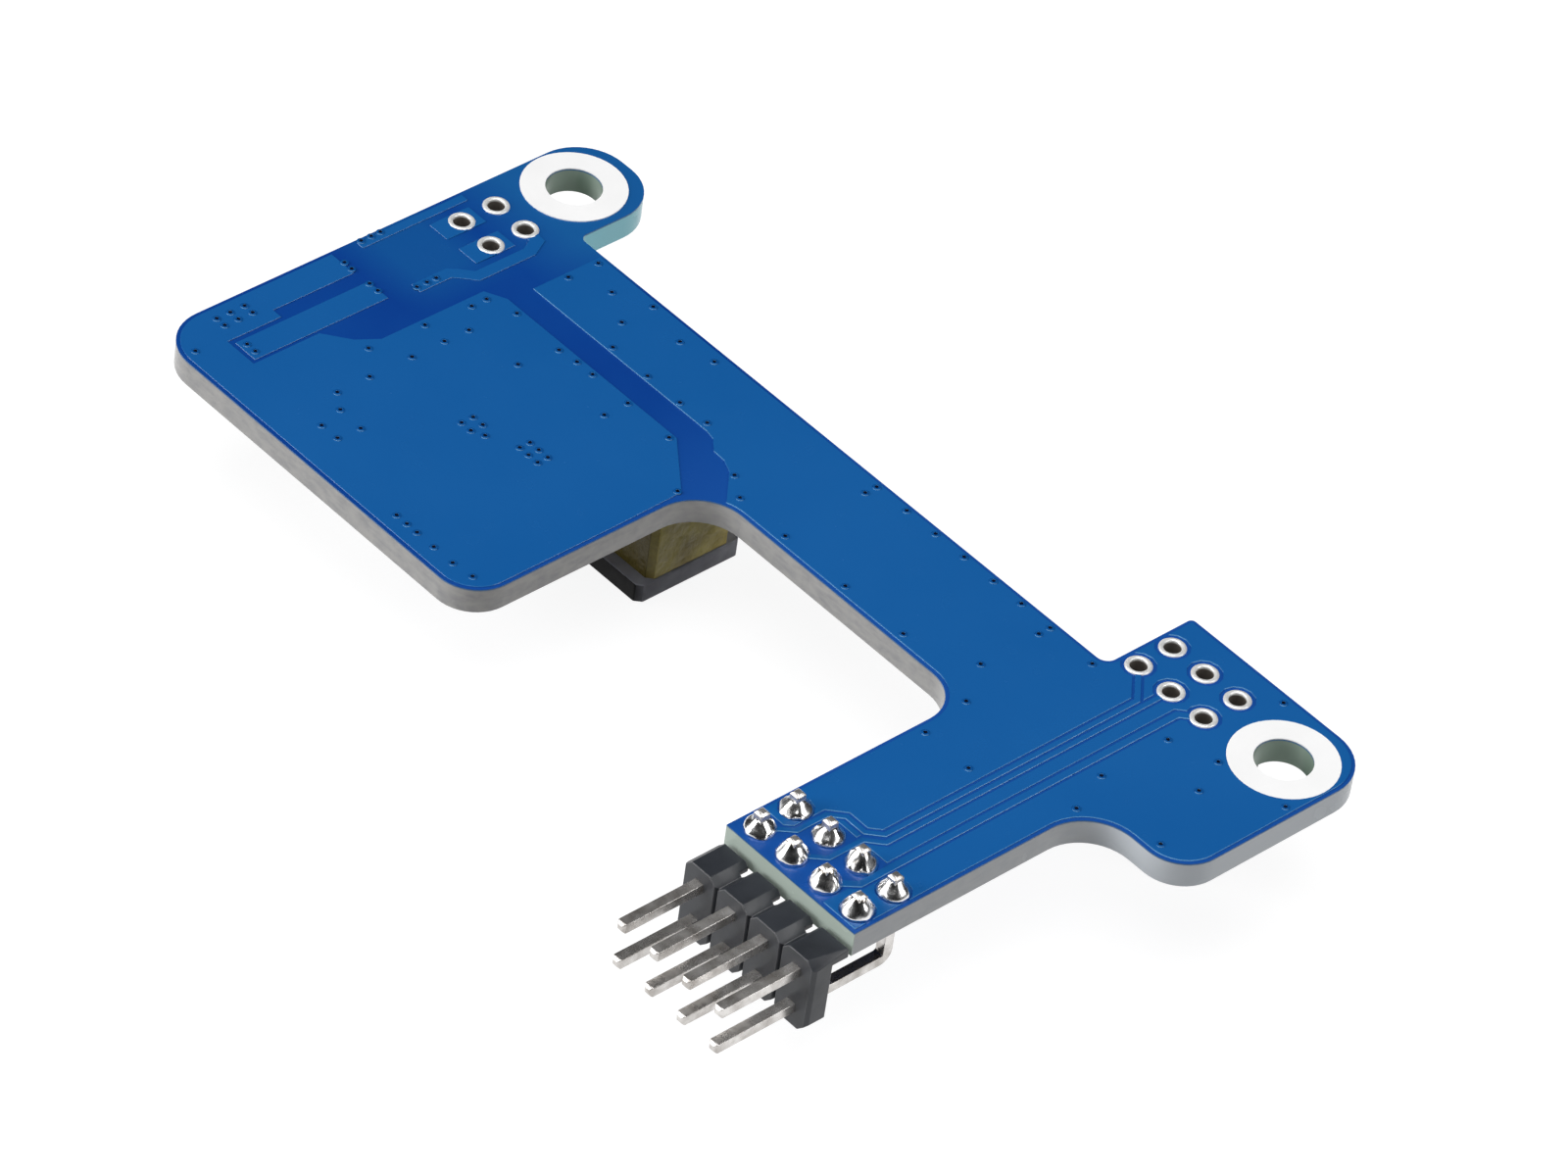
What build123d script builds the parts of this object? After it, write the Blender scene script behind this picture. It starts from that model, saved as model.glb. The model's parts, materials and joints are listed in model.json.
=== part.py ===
import os

from build123d import *

os.makedirs("parts", exist_ok=True)

# All sizes are in millimetres. The origin is midway between the two mounting
# holes, on the bare solder face of the board. +X runs from the network-power
# end to the pin-header end, and the components hang below the board.

# Board
board_t = 1.6
hole_spacing = 58.0
mount_hole_d = 3.3
ring_d = 6.2
ring_t = 0.06
lobe_top = 3.8
left_margin = 3.25
right_margin = 3.4
first_lobe_w = 6.83
trunk_top = -2.67
trunk_bottom = -10.9
tab_left = 17.95
arm_w = 10.0
arm_end = -27.95
block_right = -5.3
block_bottom = -27.8
lobe_r = 3.0
foot_r = 2.5
inner_r = 3.0
inner_left_r = 2.6
lobe_root_r = 0.5
tab_root_r = 0.7
tab_tip_r = 0.3

# Connector grid
pitch = 2.54
socket_columns = 3
power_columns = 2
socket_x = 21.59
power_x = -28.92
power_y = -6.06
header_columns = 4
header_x = 20.7
header_edge_gap = 1.27
drill_d = 1.15
barrel_wall = 0.075
hole_sides = 12
pad_d = 1.55
pad_t = 0.06

# Masked copper on the solder face
copper_t = 0.05
copper_margin = 0.22
groove = 0.16
pad_clearance = 0.25
isolation_top = -7.85
isolation_bottom = -9.6
track_w = 0.34
wide_track_w = 0.46
feed_track_w = 0.8
right_track_out = 1.55
feed_pad_w = 1.55
feed_pad_l = 2.9

# Right-angle pin header
pin_w = 0.64
pin_fit = 0.01
pin_tip_chamfer = 0.16
pin_bend_r = 0.5
pin_reach = 5.45
pin_stand = 1.25
header_gap = 0.28
header_depth = 2.45
header_h = 4.9
header_chamfer = 0.55
header_back_facet = 0.12
header_front_groove = 0.28
header_notch_w = 1.05
header_notch_d = 1.1
header_slot_w = 0.45
header_slot_d = 0.63
header_web_t = 0.1
header_end_facet = 0.08
joint_r = 0.9
joint_h = 1.12
joint_tip_r = 0.47
joint_waist_r = 0.6
joint_waist_z = 0.45

# Pass-through sockets
socket_h = 8.5
socket_standoff = 0.32
socket_nub = 0.6
socket_end_wall = 0.9
cavity_w = 1.0
cavity_l = 1.9
leaf_w = 0.7
leaf_t = 0.2
leaf_grip = 0.44
leaf_root = 0.78
leaf_flare = 0.15
leaf_root_drop = 1.0
leaf_tip_gap = 0.4
inner_leaf_rise = 0.6
contact_web_t = 0.1
contact_web_h = 1.2
socket_mouth = 0.85
socket_lead_in = 0.28
tail_reach = 2.15

# Transformer
transformer_x = -12.65
transformer_y = -8.4
transformer_h = 8.35
core_l = 9.5
core_w = 7.7
core_plate_t = 1.25
core_corner_cut = 0.4
core_post_d = 3.4
wound_sides = 16
core_air_gap = 0.1
core_standoff = 0.6
core_window_wall = 0.6
core_lip = 0.1
core_side_lip = 0.8
window_spare = 0.1
tape_t = 0.2
bobbin_wall = 0.35
bobbin_fit = 0.05
bobbin_web_gap = 0.8
bobbin_flange_t = 0.4
bobbin_rail_w = 0.6
bobbin_rail_gap = 0.1
bobbin_rail_l = 8.8
bobbin_standoff = 0.25
coil_clearance = 0.12
coil_inset = 0.1
transformer_pin_pitch = 1.8
transformer_pin_w = 0.5
transformer_pin_t = 0.25
transformer_pins_per_side = 5
transformer_pin_out = 0.85

# Bulk capacitor
capacitor_d = 8.0
capacitor_h = 8.42
capacitor_base_l = 8.3
capacitor_base_t = 1.1
capacitor_base_cut = 1.6
capacitor_crimp_z = 2.0
capacitor_crimp = 0.25
capacitor_rim = 0.45
can_sides = 32
capacitor_lead_w = 0.9
capacitor_lead_t = 0.25
capacitor_lead_out = 0.4
capacitor_lead_in = 0.9
capacitor_land_in = 2.2

# Surface-mount parts
solder_t = 0.08
solder_rim = 0.12
lead_t = 0.2
body_taper = 6
body_gap = 0.1
part_gap = 0.3
bridge_l = 4.7
bridge_w = 3.9
bridge_h = 2.4
bridge_lead_w = 0.65
bridge_lead_out = 0.9
bridge_y = -13.6
bridge_step = 6.3
surge_l = 4.2
surge_w = 2.6
opto_l = 2.6
opto_w = 4.4
opto_h = 2.0
opto_lead_w = 0.4
opto_lead_out = 1.15
opto_y = -8.1
ic_l = 3.0

component_face = -board_t
seat = component_face - solder_t

# Places worked out from the sizes above
first_hole = (-hole_spacing / 2, 0)
second_hole = (hole_spacing / 2, 0)
left_edge = first_hole[0] - left_margin
right_edge = second_hole[0] + right_margin
lobe_right = left_edge + first_lobe_w
arm_left = header_x - arm_w / 2
arm_right = header_x + arm_w / 2
near_row_y = arm_end + header_edge_gap
far_row_y = near_row_y + pitch
header_pins = [header_x + pitch * (n - (header_columns - 1) / 2) for n in range(header_columns)]
header_holes = [(x, y) for x in header_pins for y in (near_row_y, far_row_y)]

# Places of the neighbours on the component face, each a gap from the last
bridge_x = left_edge + part_gap + bridge_lead_out + bridge_w / 2
bridge_places = [(bridge_x, bridge_y), (bridge_x, bridge_y - bridge_step)]
surge_y = bridge_y - bridge_step - bridge_l / 2 - part_gap - surge_w / 2
capacitor_x = bridge_x + bridge_w / 2 + bridge_lead_out + part_gap + capacitor_base_l / 2
capacitor_y = opto_y - opto_w / 2 - opto_lead_out - part_gap - capacitor_base_l / 2
power_interface_place = (capacitor_x + capacitor_base_l / 2 + part_gap + ic_l / 2, -18.3)
flyback_controller_place = (power_interface_place[0] + ic_l + part_gap, -17.0)
isolation_capacitor_w = 2.0
isolation_capacitor_x = transformer_x - core_l / 2 - part_gap - isolation_capacitor_w / 2
opto_x = isolation_capacitor_x - isolation_capacitor_w / 2 - part_gap - opto_l / 2


def socket_holes(columns, center_x, center_y):
    """Places of a two-row socket's pin holes."""
    xs = [center_x + pitch * (n - (columns - 1) / 2) for n in range(columns)]
    return [(x, center_y + side * pitch / 2) for x in xs for side in (-1, 1)]


signal_holes = socket_holes(socket_columns, socket_x, 0)
power_holes = socket_holes(power_columns, power_x, power_y)

board_corners = [
    (left_edge, lobe_top, lobe_r),
    (lobe_right, lobe_top, lobe_r),
    (lobe_right, trunk_top, lobe_root_r),
    (tab_left, trunk_top, tab_root_r),
    (tab_left, lobe_top, tab_tip_r),
    (right_edge, lobe_top, lobe_r),
    (right_edge, trunk_bottom, foot_r),
    (arm_right, trunk_bottom, inner_r),
    (arm_right, arm_end, 0),
    (arm_left, arm_end, 0),
    (arm_left, trunk_bottom, inner_left_r),
    (block_right, trunk_bottom, inner_r),
    (block_right, block_bottom, foot_r),
    (left_edge, block_bottom, lobe_r),
]

# One plate of glass-epoxy laminate with every drilled hole
with BuildPart() as circuit_board:
    with BuildSketch(Plane.XY.offset(component_face)):
        with BuildLine():
            FilletPolyline(
                *[(x, y) for x, y, r in board_corners],
                radius=[r for x, y, r in board_corners],
                close=True,
            )
        make_face()
        with Locations(first_hole, second_hole):
            Circle(mount_hole_d / 2, mode=Mode.SUBTRACT)
        with Locations(*signal_holes, *power_holes, *header_holes):
            RegularPolygon(drill_d / 2, hole_sides, mode=Mode.SUBTRACT)
    extrude(amount=board_t)
circuit_board.part.label = "circuit_board"
export_step(circuit_board.part, "parts/circuit_board.step")

# White printed rings round the mounting holes
with BuildPart() as mounting_hole_rings:
    with BuildSketch():
        with Locations(first_hole, second_hole):
            Circle(ring_d / 2)
            Circle(mount_hole_d / 2, mode=Mode.SUBTRACT)
    extrude(amount=ring_t)
mounting_hole_rings.part.label = "mounting_hole_rings"
export_step(mounting_hole_rings.part, "parts/mounting_hole_rings.step")


def board_inset(margin):
    """The board's outline, drawn in by a margin, as a face of the open sketch."""
    with BuildLine() as outline:
        FilletPolyline(
            *[(x, y) for x, y, r in board_corners],
            radius=[r for x, y, r in board_corners],
            close=True,
        )
    make_face(outline.edges())
    offset(amount=-margin, mode=Mode.REPLACE)


def region(points, mode):
    """A straight-sided region of the open sketch."""
    with BuildLine() as outline:
        Polyline(*points, close=True)
    make_face(outline.edges(), mode=mode)


def track(points, width, mode):
    """A copper track of the open sketch along a bent line."""
    with BuildLine() as route:
        Polyline(*points)
    trace(route.line, line_width=width, mode=mode)


# Routes of the three signal tracks from the socket to the header
inner_track_x = socket_x - track_w / 16
left_track_x = inner_track_x - track_w - groove
right_track_x = inner_track_x + right_track_out
turn_y = near_row_y + 2 * pitch
entry_y = near_row_y + 1.45
jog = 0.75
long_jog = 0.87
signal_tracks = [
    (
        track_w,
        [
            (socket_x - pitch, -pitch / 2),
            (left_track_x, -pitch / 2 - (left_track_x - socket_x + pitch)),
            (left_track_x, turn_y),
            (left_track_x - jog, turn_y - jog),
            (header_pins[0] + pitch / 2 + jog, turn_y - jog),
            (header_pins[0] + pitch / 2, turn_y - 2 * jog),
            (header_pins[0] + pitch / 2, entry_y),
            (header_pins[0], near_row_y),
        ],
    ),
    (
        track_w,
        [
            (inner_track_x, -pitch / 2),
            (inner_track_x, turn_y - jog / 2),
            (inner_track_x - long_jog, turn_y - jog / 2 - long_jog),
            (inner_track_x - long_jog, entry_y),
            (header_pins[1], near_row_y),
        ],
    ),
    (
        wide_track_w,
        [
            (socket_x + pitch, -pitch / 2),
            (right_track_x, -pitch / 2 - (socket_x + pitch - right_track_x)),
            (right_track_x, entry_y),
            (header_pins[2], near_row_y),
        ],
    ),
]

# Low-voltage copper pour over the trunk, the tab and the arm
pour_left = -23.4
secondary_outline = [
    (pour_left, lobe_top),
    (pour_left, isolation_top),
    (-8.7, isolation_top),
    (-8.0, isolation_top - 0.15),
    (-7.2, isolation_top - 0.8),
    (-6.3, isolation_top - 0.85),
    (-5.4, isolation_top - 1.25),
    (-3.6, trunk_bottom),
    (-3.6, arm_end),
    (right_edge, arm_end),
    (right_edge, lobe_top),
]
bare_by_far_row = [
    (header_pins[0] + 1.0, far_row_y + 1.15),
    (header_pins[2] + 1.4, far_row_y + 1.15),
    (header_pins[2] + 1.4, near_row_y + 1.1),
    (header_pins[0] + 1.0, near_row_y + 1.1),
]
bare_by_near_row = [
    (arm_left, near_row_y + 1.15),
    (header_pins[2] + 1.05, near_row_y + 1.15),
    (header_pins[2] + 1.05, arm_end),
    (arm_left, arm_end),
]
with BuildPart() as low_voltage_copper:
    with BuildSketch():
        board_inset(copper_margin)
        region(secondary_outline, Mode.INTERSECT)
        region(bare_by_far_row, Mode.SUBTRACT)
        region(bare_by_near_row, Mode.SUBTRACT)
        for width, route_points in signal_tracks:
            track(route_points, width + 2 * groove, Mode.SUBTRACT)
        with Locations(second_hole):
            Circle(ring_d / 2, mode=Mode.SUBTRACT)
        with Locations(*signal_holes, *header_holes):
            RegularPolygon(pad_d / 2 + pad_clearance, hole_sides, mode=Mode.SUBTRACT)
    extrude(amount=copper_t)
low_voltage_copper.part.label = "low_voltage_copper"
export_step(low_voltage_copper.part, "parts/low_voltage_copper.step")

# Signal tracks, each ending at its plated holes
with BuildPart() as signal_track_copper:
    for width, route_points in signal_tracks:
        with BuildSketch():
            track(route_points, width, Mode.ADD)
            with Locations(*signal_holes):
                RegularPolygon(pad_d / 2, hole_sides, mode=Mode.SUBTRACT)
            with Locations(*header_holes):
                RegularPolygon(joint_r, hole_sides, mode=Mode.SUBTRACT)
        extrude(amount=copper_t)
signal_track_copper.part.label = "signal_track_copper"
export_step(signal_track_copper.part, "parts/signal_track_copper.step")

# High-voltage copper: the pour over the block, the feed strip and the pads
# that lead from the network-power socket
pour_corner_x = -24.8
strip_left = -29.05
strip_right = -27.3
strip_top = -15.1
strip_bottom = -24.65
column_right = -30.05
column_l = 6.0
primary_outline = [
    (pour_corner_x + 1.3, isolation_bottom),
    (-9.2, isolation_bottom),
    (block_right - 0.3, isolation_bottom - 2.8),
    (block_right, block_bottom),
    (left_edge, block_bottom),
    (left_edge, strip_top - 0.2),
    (column_right, strip_top - 0.2),
    (column_right, strip_top - column_l),
    (strip_left - 0.3, strip_top - column_l),
    (strip_left - 0.3, strip_bottom - 0.25),
    (strip_right + 0.2, strip_bottom - 0.25),
    (strip_right + 0.2, strip_top - 5.15),
    (-25.6, strip_top - 3.9),
    (pour_corner_x, strip_top - 2.6),
    (pour_corner_x, isolation_bottom - 0.7),
]
edge_run = [(left_edge, -5.8), (left_edge + 0.8, -5.8), (left_edge + 0.8, -13.5), (left_edge, -13.5)]
feed_route = [
    (power_holes[2][0], power_holes[3][1]),
    (-26.5, power_holes[3][1] - 0.1),
    (-26.0, power_holes[3][1] - 1.1),
    (-26.0, isolation_bottom - 0.1),
    (-26.75, isolation_bottom - 0.85),
    (-27.1, isolation_bottom - 1.3),
    (-27.1, isolation_bottom - 3.7),
]
with BuildPart() as high_voltage_copper:
    with BuildSketch():
        board_inset(copper_margin)
        region(primary_outline, Mode.INTERSECT)
    extrude(amount=copper_t)
    with BuildSketch():
        board_inset(copper_margin)
        region(edge_run, Mode.INTERSECT)
    extrude(amount=copper_t)
    with BuildSketch():
        with Locations(((strip_left + strip_right) / 2, (strip_top + strip_bottom) / 2)):
            Rectangle(strip_right - strip_left, strip_top - strip_bottom)
        with Locations(*[(x, power_holes[0][1] - 0.3) for x in (power_holes[0][0], power_holes[2][0])]):
            Rectangle(feed_pad_w, feed_pad_l)
        track(feed_route, feed_track_w, Mode.ADD)
        with Locations(*power_holes):
            RegularPolygon(pad_d / 2, hole_sides, mode=Mode.SUBTRACT)
    extrude(amount=copper_t)
high_voltage_copper.part.label = "high_voltage_copper"
export_step(high_voltage_copper.part, "parts/high_voltage_copper.step")

# Tinned tubes through the board, each with a thin flange on the solder face
with BuildPart() as socket_hole_plating:
    for level, outer_d, height in ((component_face, drill_d, board_t), (0, pad_d, pad_t)):
        with BuildSketch(Plane.XY.offset(level)):
            with Locations(*signal_holes, *power_holes):
                RegularPolygon(outer_d / 2, hole_sides)
                RegularPolygon(drill_d / 2 - barrel_wall, hole_sides, mode=Mode.SUBTRACT)
        extrude(amount=height)
socket_hole_plating.part.label = "socket_hole_plating"
export_step(socket_hole_plating.part, "parts/socket_hole_plating.step")

# Header: eight square pins bent to the side and held in one notched bar
upper_pin_z = component_face - solder_t - pin_w / 2
lower_pin_z = upper_pin_z - pitch
header_back = arm_end - header_gap
header_front = header_back - header_depth
header_mid_z = (upper_pin_z + lower_pin_z) / 2
pin_tip_y = header_front - pin_reach


def bent_pins(row_y, level):
    """A row of pins running out to the side, cut from a bent profile."""
    for x in header_pins:
        with BuildSketch(Plane.YZ.offset(x - pin_w / 2)) as profile:
            with BuildLine():
                FilletPolyline(
                    (pin_tip_y, level), (row_y, level), (row_y, pin_stand), radius=pin_bend_r
                )
            trace(line_width=pin_w)
        extrude(profile.sketch, amount=pin_w)


with BuildPart() as header_near_pins:
    bent_pins(near_row_y, upper_pin_z)
    chamfer(header_near_pins.faces().group_by(Axis.Y)[0].edges(), pin_tip_chamfer)
    chamfer(header_near_pins.faces().group_by(Axis.Z)[-1].edges(), pin_tip_chamfer)
header_near_pins.part.label = "header_near_pins"
export_step(header_near_pins.part, "parts/header_near_pins.step")

with BuildPart() as header_far_pins:
    bent_pins(far_row_y, lower_pin_z)
    chamfer(header_far_pins.faces().group_by(Axis.Y)[0].edges(), pin_tip_chamfer)
    chamfer(header_far_pins.faces().group_by(Axis.Z)[-1].edges(), pin_tip_chamfer)
header_far_pins.part.label = "header_far_pins"
export_step(header_far_pins.part, "parts/header_far_pins.step")

unit_edges = [header_pins[0] + pitch * (n - 0.5) for n in range(header_columns + 1)]
bar_top = header_mid_z + header_h / 2
bar_bottom = header_mid_z - header_h / 2
shoulder_z = bar_top - header_chamfer
with BuildPart() as header_bar:
    with BuildSketch(Plane.XZ.offset(-header_back)):
        for x in header_pins:
            right = x + pitch / 2
            shoulder = [(right - header_chamfer, bar_top), (right, shoulder_z)]
            if x == header_pins[-1]:
                shoulder = [(right, bar_top)]
            with BuildLine():
                Polyline(
                    (x - pitch / 2, shoulder_z),
                    (x - pitch / 2 + header_chamfer, bar_top),
                    *shoulder,
                    (right, bar_bottom + header_chamfer),
                    (right - header_chamfer, bar_bottom),
                    (x - pitch / 2 + header_chamfer, bar_bottom),
                    (x - pitch / 2, bar_bottom + header_chamfer),
                    close=True,
                )
            make_face()
        with Locations(*[(x, z) for x in header_pins for z in (upper_pin_z, lower_pin_z)]):
            Rectangle(pin_w + pin_fit, pin_w + pin_fit, mode=Mode.SUBTRACT)
    extrude(amount=header_depth)
    back_edges = header_bar.edges().filter_by(Axis.X).group_by(Axis.Y)[-1]
    chamfer(back_edges.group_by(Axis.Z)[-1], header_back_facet)
    with BuildSketch(Plane.XY.offset(bar_bottom)):
        for x in unit_edges:
            with BuildLine():
                Polyline(
                    (x - header_front_groove / 2, header_front),
                    (x, header_front + header_front_groove),
                    (x + header_front_groove / 2, header_front),
                    close=True,
                )
            make_face()
        with Locations(*[(x, header_back - header_slot_d / 2) for x in unit_edges[1:-1]]):
            Rectangle(header_slot_w, header_slot_d)
    extrude(amount=header_h, mode=Mode.SUBTRACT)
    with BuildSketch(Plane.XY.offset(bar_bottom)):
        for x in unit_edges:
            with BuildLine():
                Polyline(
                    (x - header_notch_w, header_back),
                    (x, header_back - header_notch_d),
                    (x + header_notch_w, header_back),
                    close=True,
                )
            make_face()
    extrude(amount=shoulder_z - header_web_t - bar_bottom, mode=Mode.SUBTRACT)
    for y, cut in ((header_front, header_chamfer), (header_back, header_end_facet)):
        with BuildSketch(Plane.XZ.offset(-y)):
            with BuildLine():
                Polyline(
                    (unit_edges[-1] - cut, bar_top),
                    (unit_edges[-1], bar_top),
                    (unit_edges[-1], bar_top - cut),
                    close=True,
                )
            make_face()
    loft(ruled=True, mode=Mode.SUBTRACT)
header_bar.part.label = "header_bar"
export_step(header_bar.part, "parts/header_bar.step")

# Solder cones that fill the header holes and climb the pins
with BuildPart() as header_solder_joints:
    with BuildSketch(Plane.XY.offset(component_face)):
        with Locations(*header_holes):
            RegularPolygon(drill_d / 2, hole_sides)
    extrude(amount=board_t)
    for place in header_holes:
        for level, radius in ((0, joint_r), (joint_waist_z, joint_waist_r), (joint_h, joint_tip_r)):
            with BuildSketch(Plane.XY.offset(level)):
                with Locations(place):
                    RegularPolygon(radius, hole_sides)
        loft(ruled=True)
    with BuildSketch(Plane.XY.offset(component_face)):
        with Locations(*header_holes):
            Rectangle(pin_w, pin_w)
    extrude(amount=board_t + joint_h, mode=Mode.SUBTRACT)
header_solder_joints.part.label = "header_solder_joints"
export_step(header_solder_joints.part, "parts/header_solder_joints.step")

# Solder lands are gathered here as each part is placed
solder_lands = []


def land(x, y, length, width):
    """Note a solder land under a foot, a little larger than the foot."""
    solder_lands.append((x, y, length + 2 * solder_rim, width + 2 * solder_rim))


def upright(x, y, dx, dy):
    """An upright plane through a point, whose first axis points outwards."""
    return Plane(origin=(x, y, 0), x_dir=(dx, dy, 0), z_dir=(dy, -dx, 0))


def foot_land(x, y, dx, dy, near, far, width):
    """The land under a foot that runs outwards from near to far."""
    middle = (near + far) / 2
    along = far - near
    land(x + dx * middle, y + dy * middle, along if dx else width, width if dx else along)


def bent_strip(x, y, dx, dy, points, width, thickness):
    """A strip of metal of the open part, folded along a line in an upright plane."""
    with BuildSketch(upright(x, y, dx, dy)) as profile:
        with BuildLine():
            Polyline(*points)
        trace(line_width=thickness)
    extrude(profile.sketch, amount=width / 2, both=True)


def gull_wing(x, y, dx, dy, start, end, level, width, thickness):
    """A lead that leaves a body at a level and steps down to its foot."""
    foot_z = seat - thickness / 2
    shoulder = start + 1.3 * thickness
    knee = shoulder + 0.8 * thickness
    points = [(start, level), (shoulder, level), (knee, foot_z), (end, foot_z)]
    bent_strip(x, y, dx, dy, points, width, thickness)
    foot_land(x, y, dx, dy, knee, end, width)


def folded_lead(x, y, dx, dy, start, under, level, width, thickness):
    """A lead that runs down a body's end and folds back under it."""
    foot_z = seat - thickness / 2
    outer = start + thickness
    points = [(start, level), (outer, level), (outer, foot_z), (start - under, foot_z)]
    bent_strip(x, y, dx, dy, points, width, thickness)
    foot_land(x, y, dx, dy, start - under, outer + thickness / 2, width)


def moulded_body(x, y, length, width, top, parting, bottom):
    """A moulded package whose sides lean in from its parting line."""
    with BuildSketch(Plane.XY.offset(parting)) as section:
        with Locations((x, y)):
            Rectangle(length, width)
    extrude(section.sketch, amount=top - parting, taper=body_taper)
    extrude(section.sketch, amount=bottom - parting, taper=body_taper)


def socket_body(columns, center_x, center_y):
    """A two-row socket that host pins enter through the board."""
    holes = socket_holes(columns, center_x, center_y)
    near_z = component_face - socket_standoff
    far_z = component_face - socket_h
    with BuildSketch(Plane.XY.offset(far_z)) as block:
        with Locations((center_x, center_y)):
            Rectangle(columns * pitch, 2 * pitch)
    extrude(block.sketch, amount=near_z - far_z)
    with BuildSketch(Plane.XY.offset(near_z)) as nubs:
        with Locations((center_x, center_y)):
            with GridLocations(columns * pitch - socket_nub, 2 * pitch - socket_nub, 2, 2):
                Rectangle(socket_nub, socket_nub)
    extrude(nubs.sketch, amount=socket_standoff)
    with BuildSketch(Plane.XY.offset(near_z)) as cavities:
        with Locations(*holes):
            Rectangle(cavity_w, cavity_l)
    extrude(cavities.sketch, amount=far_z + socket_end_wall - near_z, mode=Mode.SUBTRACT)
    with BuildSketch(Plane.XY.offset(far_z)) as mouths:
        with Locations(*holes):
            Rectangle(socket_mouth, socket_mouth)
    extrude(mouths.sketch, amount=socket_end_wall, mode=Mode.SUBTRACT)
    with BuildSketch(Plane.XY.offset(far_z)) as funnels:
        with Locations(*holes):
            Rectangle(socket_mouth + 2 * socket_lead_in, socket_mouth + 2 * socket_lead_in)
    extrude(funnels.sketch, amount=socket_lead_in, taper=45, mode=Mode.SUBTRACT)


def socket_contacts(columns, center_x, center_y):
    """Forked spring contacts, each with a foot soldered beside the socket."""
    foot_z = seat - leaf_t / 2
    root_z = component_face - socket_standoff - leaf_root_drop
    tip_z = component_face - socket_h + socket_end_wall + leaf_tip_gap
    grip_z = (root_z + 2 * tip_z) / 3
    for x, y in socket_holes(columns, center_x, center_y):
        side = 1 if y > center_y else -1
        outer_leaf = [
            (tail_reach, foot_z),
            (leaf_root, foot_z),
            (leaf_root, root_z),
            (leaf_grip, grip_z),
            (leaf_grip + leaf_flare, tip_z),
        ]
        inner_leaf = [
            (-leaf_root, root_z + inner_leaf_rise),
            (-leaf_root, root_z),
            (-leaf_grip, grip_z),
            (-leaf_grip - leaf_flare, tip_z),
        ]
        bent_strip(x, y, 0, side, outer_leaf, leaf_w, leaf_t)
        bent_strip(x, y, 0, side, inner_leaf, leaf_w, leaf_t)
        foot_land(x, y, 0, side, pitch / 2, tail_reach, leaf_w)
        with Locations((x - (leaf_w + contact_web_t) / 2, y, root_z)):
            Box(contact_web_t, 2 * leaf_root + leaf_t, contact_web_h)


with BuildPart() as signal_socket_body:
    socket_body(socket_columns, socket_x, 0)
signal_socket_body.part.label = "signal_socket_body"
export_step(signal_socket_body.part, "parts/signal_socket_body.step")

with BuildPart() as signal_socket_contacts:
    socket_contacts(socket_columns, socket_x, 0)
signal_socket_contacts.part.label = "signal_socket_contacts"
export_step(signal_socket_contacts.part, "parts/signal_socket_contacts.step")

with BuildPart() as power_socket_body:
    socket_body(power_columns, power_x, power_y)
power_socket_body.part.label = "power_socket_body"
export_step(power_socket_body.part, "parts/power_socket_body.step")

with BuildPart() as power_socket_contacts:
    socket_contacts(power_columns, power_x, power_y)
power_socket_contacts.part.label = "power_socket_contacts"
export_step(power_socket_contacts.part, "parts/power_socket_contacts.step")

# Transformer: two cores clamped round a wound bobbin and bound with tape
core_far_z = component_face - transformer_h
core_inner_far = core_far_z + core_plate_t
rail_top = component_face - bobbin_standoff
core_near_z = component_face - core_standoff
core_inner_near = core_near_z - core_plate_t
core_split = (core_inner_far + core_inner_near) / 2
tape_l = core_l - 2 * core_lip
tape_w = core_w - 2 * core_side_lip
leg_l = tape_l - 2 * tape_t
leg_w = tape_w - 2 * tape_t
window_l = leg_w + 2 * window_spare
bobbin_tube_r = core_post_d / 2 + bobbin_fit
rail_y = core_w / 2 + bobbin_rail_gap + bobbin_rail_w / 2


def core_half(plate_z, inner_z, post_end):
    """One core: a plate, a round middle post and two end legs hollowed for the coil."""
    with BuildSketch(Plane.XY.offset(plate_z)) as plate:
        with Locations((transformer_x, transformer_y)):
            Rectangle(core_l, core_w)
        chamfer(plate.vertices(), core_corner_cut)
    extrude(plate.sketch, amount=inner_z - plate_z)
    with BuildSketch(Plane.XY.offset(inner_z)) as legs:
        with Locations((transformer_x, transformer_y)):
            Rectangle(leg_l, leg_w)
        chamfer(legs.vertices(), core_corner_cut - tape_t)
        with Locations((transformer_x, transformer_y)):
            Rectangle(window_l - 2 * core_window_wall, tape_w, mode=Mode.SUBTRACT)
            RegularPolygon(window_l / 2, wound_sides, mode=Mode.SUBTRACT)
    extrude(legs.sketch, amount=core_split - inner_z)
    with BuildSketch(Plane.XY.offset(inner_z)) as post:
        with Locations((transformer_x, transformer_y)):
            RegularPolygon(core_post_d / 2, wound_sides)
    extrude(post.sketch, amount=post_end - inner_z)


with BuildPart() as transformer_far_core:
    core_half(core_far_z, core_inner_far, core_split - core_air_gap / 2)
transformer_far_core.part.label = "transformer_far_core"
export_step(transformer_far_core.part, "parts/transformer_far_core.step")

with BuildPart() as transformer_near_core:
    core_half(core_near_z, core_inner_near, core_split + core_air_gap / 2)
transformer_near_core.part.label = "transformer_near_core"
export_step(transformer_near_core.part, "parts/transformer_near_core.step")

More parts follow.
